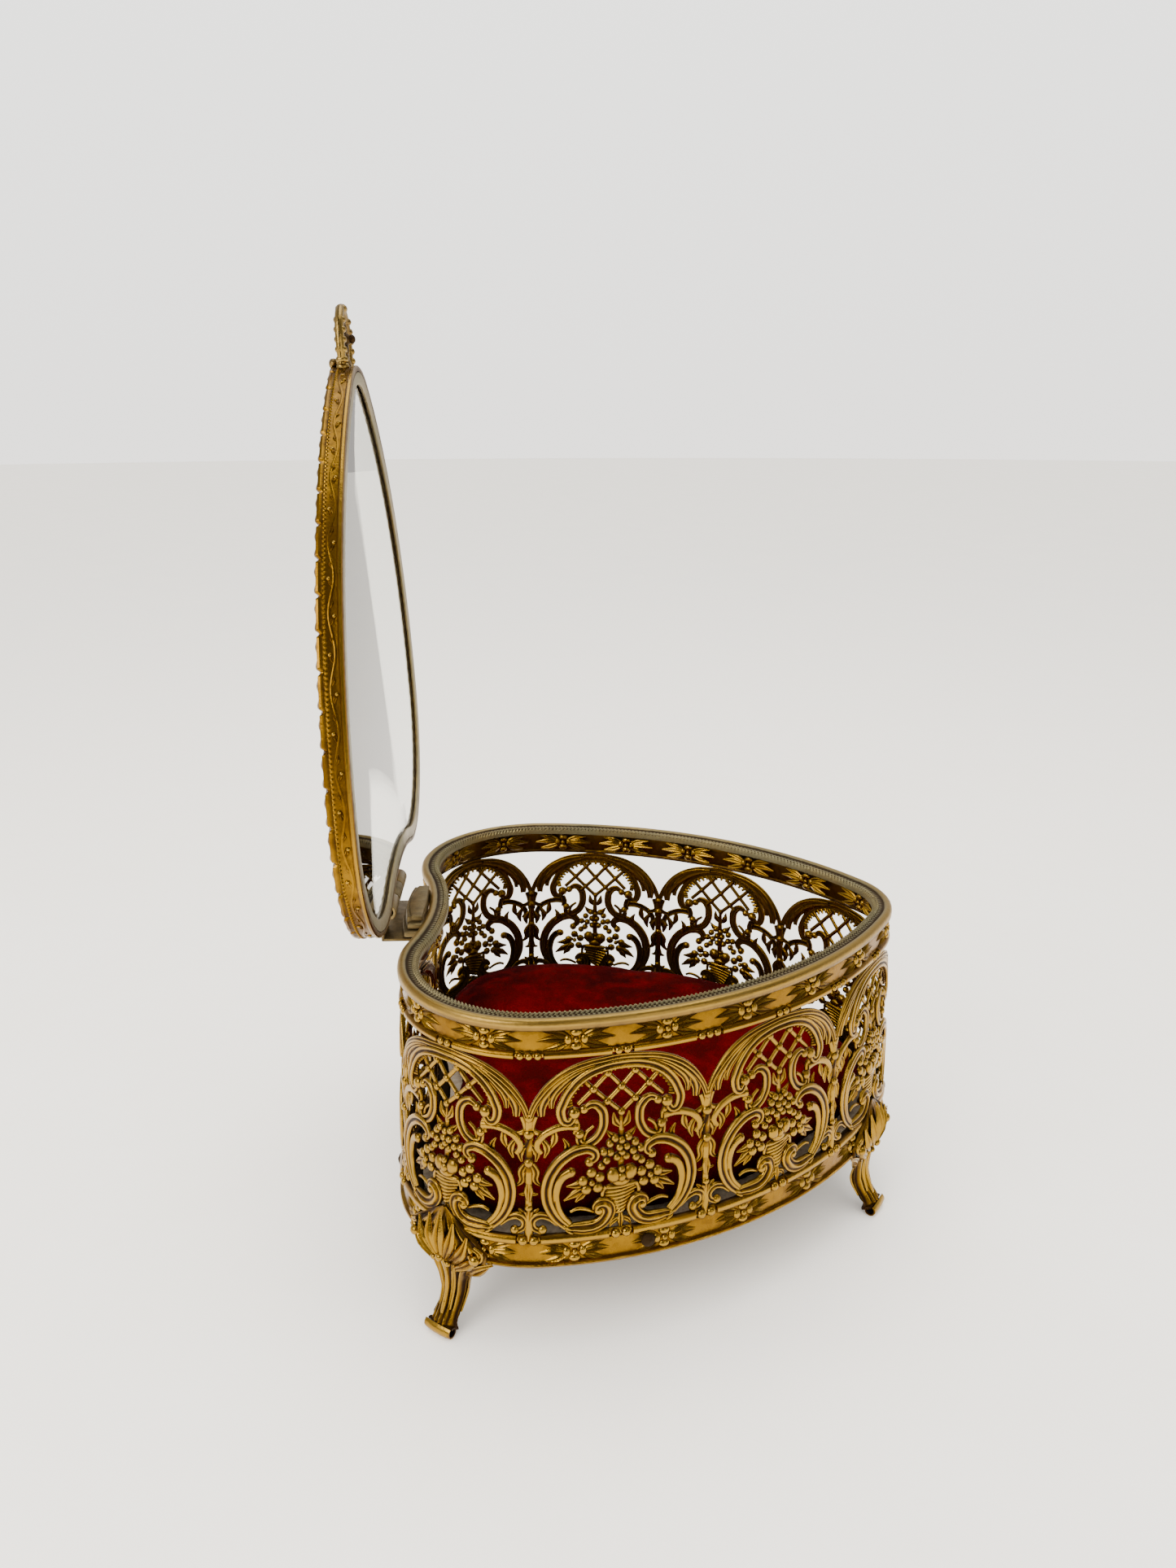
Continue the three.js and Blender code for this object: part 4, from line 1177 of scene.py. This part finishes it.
def make_pull():
    pieces = pull_strokes() + [lumps("pull_lumps", pull_lumps())]
    middle = (LID_BOTTOM + LID_TOP) / 2
    grip = [(x, y, 3.15, 1.3, 1.3, 0.75, 0)
            for x, y in ((0, -2.2), (2.4, -1.7), (-2.4, -1.7), (0, -0.2), (1.9, 0.4), (-1.9, 0.4))]
    grip += [(x, 0.7, z, 1.3, 1.0, 1.2, 0) for x in (-2.2, 0, 2.2) for z in (1.2, 2.6)]
    pieces.append(lumps("pull_grip", grip))
    piece = merge("lifting_loop", pieces)
    points = read_points(piece.data)
    place = np.column_stack([points[:, 0], 0.5 - points[:, 1] + Y_SHIFT, middle + points[:, 2]])
    write_points(piece.data, place * MM)
    face_outwards(piece)
    open_lid(piece)
    smooth(piece, 50)
    radius = np.hypot(points[:, 0], points[:, 1] - 5.5)
    add_value(piece, "hollow", np.clip(0.9 - radius / 8, 0.05, 0.7))
    add_value(piece, "tarnish", np.full(len(points), 0.35))
    return finish_piece(piece, "lid", "gilt_brass", "lid_pull")


lifting_loop = make_pull()
print("loop size:", [round(v * 1000, 1) for v in lifting_loop.dimensions])

# %% [markdown]
# ## The hinge
# A block of soldered layers fills the hollow of the heart. Three rolled knuckles turn on a thin
# pin behind it: the outer two belong to the box, the middle one to the lid.

# %% Hinge
def cylinder_along_x(name, radius, start, end, place, wall=0.0):
    """A rolled knuckle: open at both ends when it has a wall, closed and rounded when not."""
    deselect()
    bpy.ops.mesh.primitive_cylinder_add(vertices=32, radius=radius, depth=end - start,
                                        end_fill_type="NOTHING" if wall else "NGON")
    piece = bpy.context.object
    piece.name = name
    piece.data.transform(Matrix.Rotation(math.pi / 2, 4, "Y"))
    piece.data.transform(Matrix.Translation(((start + end) / 2 + place[0], place[1], place[2])))
    if wall:
        apply_modifier(piece, "wall", "SOLIDIFY", thickness=wall, offset=-1)
    apply_modifier(piece, "edge", "BEVEL", width=0.18, segments=2, limit_method="ANGLE")
    return piece


def plate(name, corner_low, corner_high, bevel=0.3):
    deselect()
    bpy.ops.mesh.primitive_cube_add(size=1)
    piece = bpy.context.object
    piece.name = name
    low = Vector(corner_low)
    high = Vector(corner_high)
    for vertex in piece.data.vertices:
        vertex.co = Vector([(low[k] + high[k]) / 2 + vertex.co[k] * (high[k] - low[k]) for k in range(3)])
    apply_modifier(piece, "edge", "BEVEL", width=bevel, segments=2)
    return piece


PIN_Y = HINGE_PLACE.y / MM
PIN_Z = HINGE_PLACE.z / MM
KNUCKLE = 13.5
BARREL = 2.2
BARREL_WALL = 0.85


def to_metres(piece):
    write_points(piece.data, read_points(piece.data) * MM)
    return piece


def make_box_knuckles():
    pieces = []
    for side in (-1, 1):
        start, end = sorted((side * 4.8, side * KNUCKLE))
        pieces.append(cylinder_along_x("knuckle", BARREL, start, end, (0, PIN_Y, PIN_Z), wall=BARREL_WALL))
        pieces.append(plate("strap", (start, PIN_Y + 1.3, PIN_Z - 8.4), (end, PIN_Y + 2.2, PIN_Z - 0.2)))
    pieces.append(plate("under", (-KNUCKLE, PIN_Y - 8.0, PIN_Z - 8.5), (KNUCKLE, PIN_Y + 2.2, PIN_Z - 7.6)))
    piece = to_metres(merge("hinge_box_knuckles", pieces))
    smooth(piece)
    heights = read_points(piece.data)
    add_value(piece, "tarnish", np.full(len(heights), 0.55))
    add_value(piece, "hollow", np.clip((HINGE_PLACE.z - 0.003 - heights[:, 2]) / 0.012, 0.22, 0.6))
    return finish_piece(piece, "casket", "gilt_brass", "hinge_box_leaf")


def make_block():
    """Three curved layers, each a little shorter than the one below."""
    pieces = []
    top = RIM_TOP + 1.2
    middle_row = len(OUTLINE) // 2
    hollow = OUTLINE[middle_row - 400:middle_row + 400][::-1]
    for k, (reach, width) in enumerate(((0.0, 13.9), (0.8, 12.6), (1.7, 11.2))):
        low = top - 5 + k * 1.75
        steps = 24
        xs = np.linspace(-width, width, steps)
        front = np.interp(xs, hollow[:, 1], hollow[:, 2]) + 0.45
        back = CLEFT_Y + 9.5 - 2.2 - 0.4 - reach - 1.4 * (xs / width) ** 2
        outline = [(x, y) for x, y in zip(xs, front)] + [(x, y) for x, y in zip(xs[::-1], back[::-1])]
        count = len(outline)
        points = [(x, y + Y_SHIFT, height) for height in (low, low + 1.55) for x, y in outline]
        faces = [[i, (i + 1) % count, count + (i + 1) % count, count + i] for i in range(count)]
        faces += [list(range(count))[::-1], [count + i for i in range(count)]]
        layer = mesh_piece("layer", points, faces)
        face_outwards(layer)
        apply_modifier(layer, "edge", "BEVEL", width=0.4, segments=3, limit_method="ANGLE",
                       angle_limit=math.radians(50))
        pieces.append(layer)
    core = copy_piece(pieces[0], "core")
    points = read_points(core.data)
    middle = CLEFT_Y + Y_SHIFT + 3.6
    points[:, 0] *= 0.78
    points[:, 1] = middle + (points[:, 1] - middle) * 0.7
    points[:, 2] = top - 4.9 + (points[:, 2] - (top - 5)) * 3.0
    write_points(core.data, points)
    pieces.append(core)
    piece = to_metres(merge("hinge_layers", pieces))
    smooth(piece)
    add_value(piece, "tarnish", np.full(len(piece.data.vertices), 0.7))
    add_value(piece, "hollow", np.full(len(piece.data.vertices), 0.36))
    return finish_piece(piece, "casket", "tarnished_brass", "hinge_block")


def make_lid_knuckle():
    start = CLEFT_Y + Y_SHIFT + 0.4
    pieces = [cylinder_along_x("knuckle", BARREL, -4.5, 4.5, (0, PIN_Y, PIN_Z), wall=BARREL_WALL)]
    pieces.append(plate("strap", (-4.5, start, PIN_Z + 1.25), (4.5, PIN_Y, PIN_Z + 2.2)))
    pieces.append(plate("pad", (-8.4, start, LID_BOTTOM + 1.8), (8.4, start + 0.95, LID_TOP - 0.3)))
    pieces += [lumps("solder", [(x, start + 1.0, LID_BOTTOM + 3.2, 1.1, 0.5, 0.9, 0) for x in (-6.5, 6.5)])]
    piece = to_metres(merge("hinge_lid_knuckle", pieces))
    open_lid(smooth(piece))
    add_value(piece, "tarnish", np.full(len(piece.data.vertices), 0.8))
    add_value(piece, "hollow", np.full(len(piece.data.vertices), 0.42))
    return finish_piece(piece, "lid", "tarnished_brass", "hinge_lid_leaf")


def make_pin():
    piece = to_metres(cylinder_along_x("hinge_thin_pin", 1.05, -12.9, 12.9, (0, PIN_Y, PIN_Z)))
    smooth(piece)
    return finish_piece(piece, "casket", "dark_brass", "hinge_pin")


hinge_pieces = [make_box_knuckles(), make_block(), make_lid_knuckle(), make_pin()]
print("hinge pieces:", [piece.name for piece in hinge_pieces])

# %% [markdown]
# ## Rivets
# Five rivets hold the base pan in the lower band. Each has a low domed head outside, a little
# uneven from the hammer, and a thin collar.

# %% Rivets
RIVET_PLACES = [0, 0.235, 0.43, 0.57, 0.765]
RIVET_HEIGHT = SIDE_BOTTOM + 4.4


def make_rivet(index, place):
    head = lumps("rivet", [(0, RIVET_HEIGHT, -0.35, 2.05, 2.05, 1.15, 0),
                           (0.25, RIVET_HEIGHT + 0.15, 0.35, 0.9, 0.8, 0.5, 20),
                           (0, RIVET_HEIGHT, -3.3, 1.4, 1.4, 0.5, 0)])
    apply_modifier(head, "round", "SUBSURF", levels=1, render_levels=1)
    head.name = f"pan_rivet_head_{index + 1}"
    bend_round(head, place * WAY_ROUND)
    face_outwards(head)
    return finish_piece(head, "casket", "dark_brass", f"pan_rivet_{index + 1}")


rivets = [make_rivet(index, place) for index, place in enumerate(RIVET_PLACES)]
print(len(rivets), "rivets")

# %% [markdown]
# ## The velvet pad
# The pad is a heart of cotton under red velvet, crowned in the middle and tucked in round its
# edge. A slightly small closed form is remeshed, blown up by cloth pressure with the move of each
# point capped, settled back inside its space, and subdivided once.

# %% Velvet pad
PAD_VOXEL = 0.0032
CLOTH_STEPS = 20
MOST_MOVE = 0.005
CROWN_HEIGHT = 0.0042
TOP_GAP = 0.0012


def pad_form():
    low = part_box("velvet_cover")[0].z / MM
    rings = [(low + 0.4, -12.0), (low + 0.6, -6.4), (low + 3.0, -4.9), (low + 7.0, -4.6), (low + 10.0, -6.2),
             (low + 12.2, -11.0), (low + 13.0, -19.5)]
    return heart_rings("velvet_pad", rings, 220)


def swell(piece):
    apply_modifier(piece, "even", "REMESH", mode="VOXEL", voxel_size=PAD_VOXEL)
    before = read_points(piece.data)
    cloth = piece.modifiers.new("cloth", "CLOTH")
    cloth.settings.use_pressure = True
    cloth.settings.uniform_pressure_force = 4
    cloth.settings.effector_weights.gravity = 0
    cloth.settings.tension_stiffness = 15
    cloth.settings.quality = 6
    scene = bpy.context.scene
    scene.frame_start = 1
    for step in range(1, CLOTH_STEPS + 1):
        scene.frame_set(step)
    bpy.context.view_layer.update()
    pick(piece)
    bpy.ops.object.modifier_apply(modifier=cloth.name)
    after = read_points(piece.data)
    scene.frame_set(1)
    move = (after - before) * (0.25, 0.25, 1)
    size = np.linalg.norm(move, axis=1)[:, None]
    return before + move * np.minimum(1, MOST_MOVE / np.maximum(size, 1e-9))


def make_pad():
    piece = pad_form()
    points = swell(piece)
    low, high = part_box("velvet_cover")
    crown = np.exp(-((points[:, 0] / 0.05) ** 2 + ((points[:, 1] + 0.002) / 0.048) ** 2))
    upper = np.clip((points[:, 2] - low.z) / 0.013, 0, 1)
    points[:, 2] += CROWN_HEIGHT * crown * upper
    points[:, 2] = np.maximum(points[:, 2], low.z + 0.0002)
    over = points[:, 2] - (high.z - TOP_GAP)
    points[:, 2] = np.where(over > 0, high.z - TOP_GAP + 0.4 * over, points[:, 2])
    for index, point in enumerate(points):
        puff = noise.noise(Vector(point) * 34) * 0.0009 + noise.noise(Vector(point) * 90) * 0.0003
        points[index, 2] += puff * upper[index]
    points[:, 0] = np.clip(points[:, 0], low.x, high.x)
    points[:, 1] = np.clip(points[:, 1], low.y, high.y)
    write_points(piece.data, points)
    piece.data.polygons.foreach_set("use_smooth", [True] * len(piece.data.polygons))
    apply_modifier(piece, "finer", "SUBSURF", levels=1, render_levels=1)
    # The pad's sides below its top get a rising "hollow" value, which the velvet turns near-black: painted
    # shade on the sides.
    heights = read_points(piece.data)[:, 2] - low.z
    add_value(piece, "hollow", np.clip((0.0115 - heights) / 0.005, 0, 1))
    finish_piece(piece, "casket", "red_velvet", "velvet_cover", "cushion_filling")
    return piece


velvet_pad = make_pad()
print("pad size:", [round(v * 1000, 1) for v in velvet_pad.dimensions], "points:",
      len(velvet_pad.data.vertices))

# %% [markdown]
# ## Finishes
# Every finish is made of nodes. Small helpers keep the node trees short to read: one adds a node
# with its settings, and one joins an output to an input.

# %% Node helpers
def set_inputs(node, values):
    for key, value in values.items():
        node.inputs[key].default_value = value
    return node


def add_node(tree, kind, values=None, **settings):
    node = tree.nodes.new(kind)
    for key, value in settings.items():
        setattr(node, key, value)
    return set_inputs(node, values or {})


def join(tree, start, end):
    tree.links.new(start, end)


def add_noise(tree, place, scale, detail=4, roughness=0.5):
    node = add_node(tree, "ShaderNodeTexNoise", {"Scale": scale, "Detail": detail, "Roughness": roughness})
    join(tree, place, node.inputs["Vector"])
    return node.outputs["Fac"]


def spread(tree, value, low, high, start=0.0, end=1.0):
    node = add_node(tree, "ShaderNodeMapRange", {"From Min": low, "From Max": high, "To Min": start,
                                                 "To Max": end})
    node.clamp = True
    join(tree, value, node.inputs["Value"])
    return node.outputs["Result"]


def blend_colours(tree, share, first, second):
    node = add_node(tree, "ShaderNodeMix", data_type="RGBA")
    join(tree, share, node.inputs[0])
    for socket, colour in ((node.inputs[6], first), (node.inputs[7], second)):
        if isinstance(colour, tuple):
            socket.default_value = (*colour, 1)
        else:
            join(tree, colour, socket)
    return node.outputs[2]


def combine(tree, kind, first, second):
    node = add_node(tree, "ShaderNodeMath", operation=kind)
    for socket, value in ((node.inputs[0], first), (node.inputs[1], second)):
        if isinstance(value, (int, float)):
            socket.default_value = value
        else:
            join(tree, value, socket)
    return node.outputs[0]


def add_bump(tree, shader, height, strength, distance):
    raised = add_node(tree, "ShaderNodeBump", {"Strength": strength, "Distance": distance})
    join(tree, height, raised.inputs["Height"])
    join(tree, raised.outputs["Normal"], shader.inputs["Normal"])


def new_material(name):
    material = bpy.data.materials.new(name)
    material.use_nodes = True
    tree = material.node_tree
    shader = tree.nodes["Principled BSDF"]
    return material, tree, shader


print("node helpers ready")

# %% [markdown]
# ### Old brass
# The same ageing shows on every brass piece: rubbed gold on the high places, brown in the
# hollows, patches where the lacquer has gone, a grey-green tarnish on the handled parts and fine
# pits and scratches. It is one node group, and each brass gives it its own amounts.

# %% Brass ageing group
GOLD = (0.235, 0.120, 0.0070)
DEEP_GOLD = (0.14, 0.064, 0.0034)
BROWN_GRAIN = (0.10, 0.042, 0.003)
RUBBED_GOLD = (0.51, 0.315, 0.045)
GREY_TARNISH = (0.205, 0.18, 0.10)
# Brown for patina in the hollows, and for painted shade on the inner side of the sheets.
BROWN_DIRT_AND_SHADE = (0.024, 0.009, 0.002)


def brass_group():
    group = bpy.data.node_groups.new("brass_ageing", "ShaderNodeTree")
    sockets = group.interface
    for name, value, low, high in (("Dirt", 1.0, 0.0, 2.0), ("Tarnish", 0.0, 0.0, 1.0),
                                   ("Dulling", 0.0, 0.0, 1.0), ("Stain", 0.0, 0.0, 1.0)):
        socket = sockets.new_socket(name=name, in_out="INPUT", socket_type="NodeSocketFloat")
        socket.default_value = value
        socket.min_value = low
        socket.max_value = high
    for name, kind in (("Colour", "Color"), ("Roughness", "Float"), ("Metal", "Float"), ("Height", "Float")):
        sockets.new_socket(name=name, in_out="OUTPUT", socket_type="NodeSocket" + kind)
    given = group.nodes.new("NodeGroupInput")
    out = group.nodes.new("NodeGroupOutput")
    place = add_node(group, "ShaderNodeTexCoord").outputs["Object"]
    hollow = add_node(group, "ShaderNodeAttribute", attribute_name="hollow").outputs["Fac"]
    own_tarnish = add_node(group, "ShaderNodeAttribute", attribute_name="tarnish").outputs["Fac"]
    patches = add_noise(group, place, 55, 5, 0.6)
    grain = add_noise(group, place, 420, 4, 0.6)
    fine = add_noise(group, place, 1900, 3, 0.5)
    gold = blend_colours(group, spread(group, patches, 0.36, 0.64), GOLD, DEEP_GOLD)
    gold = blend_colours(group, spread(group, grain, 0.5, 0.85, 0, 0.6), gold, BROWN_GRAIN)
    rubbed = spread(group, hollow, 0.02, 0.14, 0.4, 0.0)
    gold = blend_colours(group, rubbed, gold, RUBBED_GOLD)
    tarnish = combine(group, "MAXIMUM", own_tarnish, given.outputs["Tarnish"])
    tarnish = combine(group, "MULTIPLY", tarnish, spread(group, patches, 0.25, 0.6, 0.65, 1.0))
    metal = blend_colours(group, tarnish, gold, GREY_TARNISH)
    rough_edge = combine(group, "ADD", hollow, spread(group, grain, 0.2, 0.8, -0.16, 0.16))
    rough_edge = combine(group, "ADD", rough_edge, given.outputs["Stain"])
    # The brown follows "hollow": patina in grooves and hollows, and painted shade on the inner side of the
    # sheets.
    dirt = spread(group, rough_edge, 0.24, 0.74)
    dirt = combine(group, "MINIMUM", combine(group, "MULTIPLY", dirt, given.outputs["Dirt"]), 1.0)
    colour = blend_colours(group, dirt, metal, BROWN_DIRT_AND_SHADE)
    join(group, colour, out.inputs["Colour"])
    gloss = combine(group, "ADD", spread(group, patches, 0.3, 0.7, 0.2, 0.36),
                    combine(group, "MULTIPLY", dirt, 0.3))
    gloss = combine(group, "ADD", gloss, combine(group, "MULTIPLY", tarnish, 0.16))
    gloss = combine(group, "ADD", gloss, combine(group, "MULTIPLY", given.outputs["Dulling"], 0.2))
    join(group, gloss, out.inputs["Roughness"])
    join(group, spread(group, dirt, 0, 1, 1.0, 0.92), out.inputs["Metal"])
    height = combine(group, "ADD", combine(group, "MULTIPLY", grain, 0.7),
                     combine(group, "MULTIPLY", fine, 0.3))
    join(group, height, out.inputs["Height"])
    return group


BRASS_AGEING = brass_group()


def brass(name, dirt, tarnish, dulling, bump, stain=0.0):
    material, tree, shader = new_material(name)
    ageing = add_node(tree, "ShaderNodeGroup", node_tree=BRASS_AGEING)
    set_inputs(ageing, {"Dirt": dirt, "Tarnish": tarnish, "Dulling": dulling, "Stain": stain})
    join(tree, ageing.outputs["Colour"], shader.inputs["Base Color"])
    join(tree, ageing.outputs["Roughness"], shader.inputs["Roughness"])
    join(tree, ageing.outputs["Metal"], shader.inputs["Metallic"])
    add_bump(tree, shader, ageing.outputs["Height"], bump, 0.0004)
    return material


FINISH = {
    "gilt_brass": brass("gilt_brass_aged", 1.0, 0.0, 0.0, 0.35),
    "tarnished_brass": brass("tarnished_brass_aged", 0.9, 0.25, 0.3, 0.4),
    "dark_brass": brass("dark_brass_aged", 0.94, 0.85, 0.6, 0.5, 0.8),
}
print("brasses:", sorted(FINISH))

# %% [markdown]
# ### Velvet, card and cotton
# Velvet is dark where one looks into the pile and lighter where the pile is brushed aside, so its
# colour varies in soft strokes, its surface is broken by a fine pile, and its shader has sheen.
# The card under the pad has a fibrous grain.

# %% Soft finishes
DARK_RED = (0.018, 0.0, 0.0)
MIDDLE_RED = (0.066, 0.0, 0.0002)
CRUSHED_RED = (0.16, 0.0, 0.0005)
PILE_RED = (0.010, 0.0, 0.0)
# The last red is painted shade for the pad's lower sides.
SIDE_SHADE_RED = (0.003, 0.0, 0.0)


def velvet():
    material, tree, shader = new_material("red_velvet_pile")
    place = add_node(tree, "ShaderNodeTexCoord").outputs["Object"]
    brushed = add_noise(tree, place, 38, 3, 0.55)
    pile = add_noise(tree, place, 1500, 2, 0.6)
    crushed = add_noise(tree, place, 130, 4, 0.6)
    deep = blend_colours(tree, spread(tree, brushed, 0.34, 0.66), DARK_RED, MIDDLE_RED)
    shade = blend_colours(tree, spread(tree, crushed, 0.45, 0.8, 0, 0.55), deep, CRUSHED_RED)
    shade = blend_colours(tree, spread(tree, pile, 0.35, 0.75, 0, 0.5), shade, PILE_RED)
    # The pad's lower sides, marked by "hollow", are blended towards near-black red: painted shade.
    side_shade = add_node(tree, "ShaderNodeAttribute", attribute_name="hollow").outputs["Fac"]
    shade = blend_colours(tree, spread(tree, side_shade, 0, 1, 0, 0.85), shade, SIDE_SHADE_RED)
    join(tree, shade, shader.inputs["Base Color"])
    join(tree, spread(tree, pile, 0.2, 0.8, 0.85, 1.0), shader.inputs["Roughness"])
    set_inputs(shader, {"Specular IOR Level": 0.02, "Sheen Weight": 0.02, "Sheen Roughness": 0.35,
                        "Sheen Tint": (0.9, 0.01, 0.02, 1)})
    add_bump(tree, shader, combine(tree, "ADD", pile, crushed), 0.6, 0.0006)
    return material


def fibrous(name, light, dark, scale):
    material, tree, shader = new_material(name)
    place = add_node(tree, "ShaderNodeTexCoord").outputs["Object"]
    fibres = add_noise(tree, place, scale, 6, 0.7)
    stains = add_noise(tree, place, scale / 12, 3, 0.5)
    shade = blend_colours(tree, spread(tree, fibres, 0.35, 0.65), light, dark)
    shade = blend_colours(tree, spread(tree, stains, 0.5, 0.75, 0, 0.4), shade, dark)
    join(tree, shade, shader.inputs["Base Color"])
    join(tree, spread(tree, fibres, 0.2, 0.8, 0.8, 0.98), shader.inputs["Roughness"])
    add_bump(tree, shader, fibres, 0.4, 0.0004)
    return material


FINISH["red_velvet"] = velvet()
FINISH["card_board"] = fibrous("grey_card", (0.42, 0.33, 0.23), (0.25, 0.18, 0.12), 420)
FINISH["cotton_filling"] = fibrous("cotton_wadding", (0.82, 0.78, 0.7), (0.66, 0.6, 0.5), 260)
print("soft finishes added")

# %% [markdown]
# ### Glass
# Thick clear glass has a faint green cast. Small specks and smears of dust are slightly rough and
# pale, which tells the eye that there is a pane at all. Light from the lamps passes straight
# through with a slight tint, so that the pane throws only a faint shadow.

# %% Glass finish
CLEAR_GREEN = (0.96, 0.975, 0.925)
PALE_DUST = (0.75, 0.74, 0.68)


def clear_glass():
    material, tree, shader = new_material("clear_bevelled_glass")
    place = add_node(tree, "ShaderNodeTexCoord").outputs["Object"]
    specks = add_noise(tree, place, 900, 2, 0.5)
    smears = add_noise(tree, place, 30, 4, 0.6)
    dust = spread(tree, specks, 0.68, 0.76)
    join(tree, blend_colours(tree, dust, CLEAR_GREEN, PALE_DUST), shader.inputs["Base Color"])
    cloudy = combine(tree, "ADD", spread(tree, smears, 0.45, 0.8, 0.0, 0.03),
                     combine(tree, "MULTIPLY", dust, 0.2))
    join(tree, cloudy, shader.inputs["Roughness"])
    set_inputs(shader, {"Metallic": 0.0, "Transmission Weight": 1.0, "IOR": 1.45, "Specular IOR Level": 0.1})
    clear = add_node(tree, "ShaderNodeBsdfTransparent", {"Color": (0.95, 0.97, 0.93, 1)})
    mixed = add_node(tree, "ShaderNodeMixShader")
    lamp_ray = add_node(tree, "ShaderNodeLightPath").outputs["Is Shadow Ray"]
    join(tree, lamp_ray, mixed.inputs[0])
    join(tree, shader.outputs[0], mixed.inputs[1])
    join(tree, clear.outputs[0], mixed.inputs[2])
    join(tree, mixed.outputs[0], tree.nodes["Material Output"].inputs["Surface"])
    return material


FINISH["lid_glass"] = clear_glass()
print("finishes:", sorted(FINISH))

# %% [markdown]
# ## Give every piece its finish
# A new piece takes the finish of its slot. The frame's own solids that stay in view, such as the
# base pan and the card, take theirs from the record.

# %% Assign finishes
def paint(piece, material):
    piece.data.materials.clear()
    piece.data.materials.append(material)


def paint_all():
    slots = {}
    for row in frame["record"]["subparts"]:
        slots[row["node"]] = row["material_slot"]
    for piece in bpy.data.objects:
        if piece.type != "MESH":
            continue
        slot = piece.get("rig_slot") or slots.get(piece.name)
        if slot in FINISH:
            paint(piece, FINISH[slot])
        elif not piece.get("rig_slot"):
            print("no slot for", piece.name)


paint_all()
for section_piece in SECTIONS.values():
    bpy.data.objects.remove(section_piece)

# %% [markdown]
# ## Floor, light and surroundings
# A pale painted surface, one large soft window to the left behind the camera, a weaker fill on the
# right and a soft light above. The surroundings are pale to the eye and through the glass, but
# uneven to whatever mirrors them, because brass only looks like brass when it has both light and
# dark to reflect.

# %% Floor
WARM_WHITE = (0.93, 0.875, 0.81)
WORN_WHITE = (0.90, 0.84, 0.77)


def painted_floor():
    deselect()
    bpy.ops.mesh.primitive_circle_add(vertices=96, radius=6, fill_type="NGON")
    floor = bpy.context.object
    floor.name = "pale_floor"
    material, tree, shader = new_material("pale_paint")
    place = add_node(tree, "ShaderNodeTexCoord").outputs["Object"]
    brush = add_noise(tree, place, 14, 5, 0.6)
    specks = add_noise(tree, place, 240, 3, 0.6)
    shade = blend_colours(tree, spread(tree, brush, 0.35, 0.65), WARM_WHITE, WORN_WHITE)
    join(tree, shade, shader.inputs["Base Color"])
    join(tree, spread(tree, brush, 0.3, 0.7, 0.42, 0.6), shader.inputs["Roughness"])
    uneven = combine(tree, "ADD", brush, combine(tree, "MULTIPLY", specks, 0.3))
    add_bump(tree, shader, uneven, 0.25, 0.0008)
    paint(floor, material)
    return floor


floor = painted_floor()
print("floor:", floor.name)

# %% Lights
ROOM_LOW = (1.0, 0.94, 0.87)
ROOM_HIGH = (0.62, 0.63, 0.65)
ROOM_DARK = (0.05, 0.036, 0.022)
WALL_LOW = (2.0, 1.94, 1.85)
WALL_HIGH = (2.3, 2.32, 2.25)
ROOM_STRENGTH = 1.15


def area_light(name, place, aim, power, size, colour):
    deselect()
    bpy.ops.object.light_add(type="AREA", location=place)
    light = bpy.context.object
    light.name = name
    light.data.energy = power
    light.data.size = size
    light.data.color = colour
    light.rotation_euler = (Vector(place) - Vector(aim)).to_track_quat("Z", "Y").to_euler()
    return light


def surroundings():
    world = bpy.data.worlds.new("pale_room")
    bpy.context.scene.world = world
    world.use_nodes = True
    tree = world.node_tree
    back = tree.nodes["Background"]
    place = add_node(tree, "ShaderNodeTexCoord").outputs["Generated"]
    split = add_node(tree, "ShaderNodeSeparateXYZ")
    join(tree, place, split.inputs[0])
    height = spread(tree, split.outputs["Z"], -0.15, 0.75)
    sides = add_noise(tree, place, 2.2, 2, 0.4)
    room = blend_colours(tree, height, ROOM_LOW, ROOM_HIGH)
    away = combine(tree, "ADD", split.outputs["X"], combine(tree, "MULTIPLY", sides, 1.6))
    uneven = blend_colours(tree, spread(tree, away, 0.35, 1.15), ROOM_DARK, room)
    path = add_node(tree, "ShaderNodeLightPath")
    mirrored_ray = combine(tree, "SUBTRACT", path.outputs["Is Glossy Ray"],
                           path.outputs["Is Transmission Ray"])
    mirrored_ray = combine(tree, "MAXIMUM", mirrored_ray, 0.0)
    wall = blend_colours(tree, spread(tree, split.outputs["Z"], 0.0, 0.5), WALL_LOW, WALL_HIGH)
    join(tree, blend_colours(tree, mirrored_ray, wall, uneven), back.inputs["Color"])
    back.inputs["Strength"].default_value = ROOM_STRENGTH
    return world


area_light("window_left", (-0.55, 0.55, 0.55), (0, 0, 0.06), 6.5, 0.5, (1.0, 0.98, 0.95))
area_light("fill_front", (-0.7, -0.45, 0.35), (0, 0, 0.05), 1.0, 0.35, (1.0, 0.97, 0.93))
area_light("top_soft", (0.15, -0.1, 0.9), (0, 0, 0), 4.5, 0.7, (1.0, 1.0, 1.0))
surroundings()
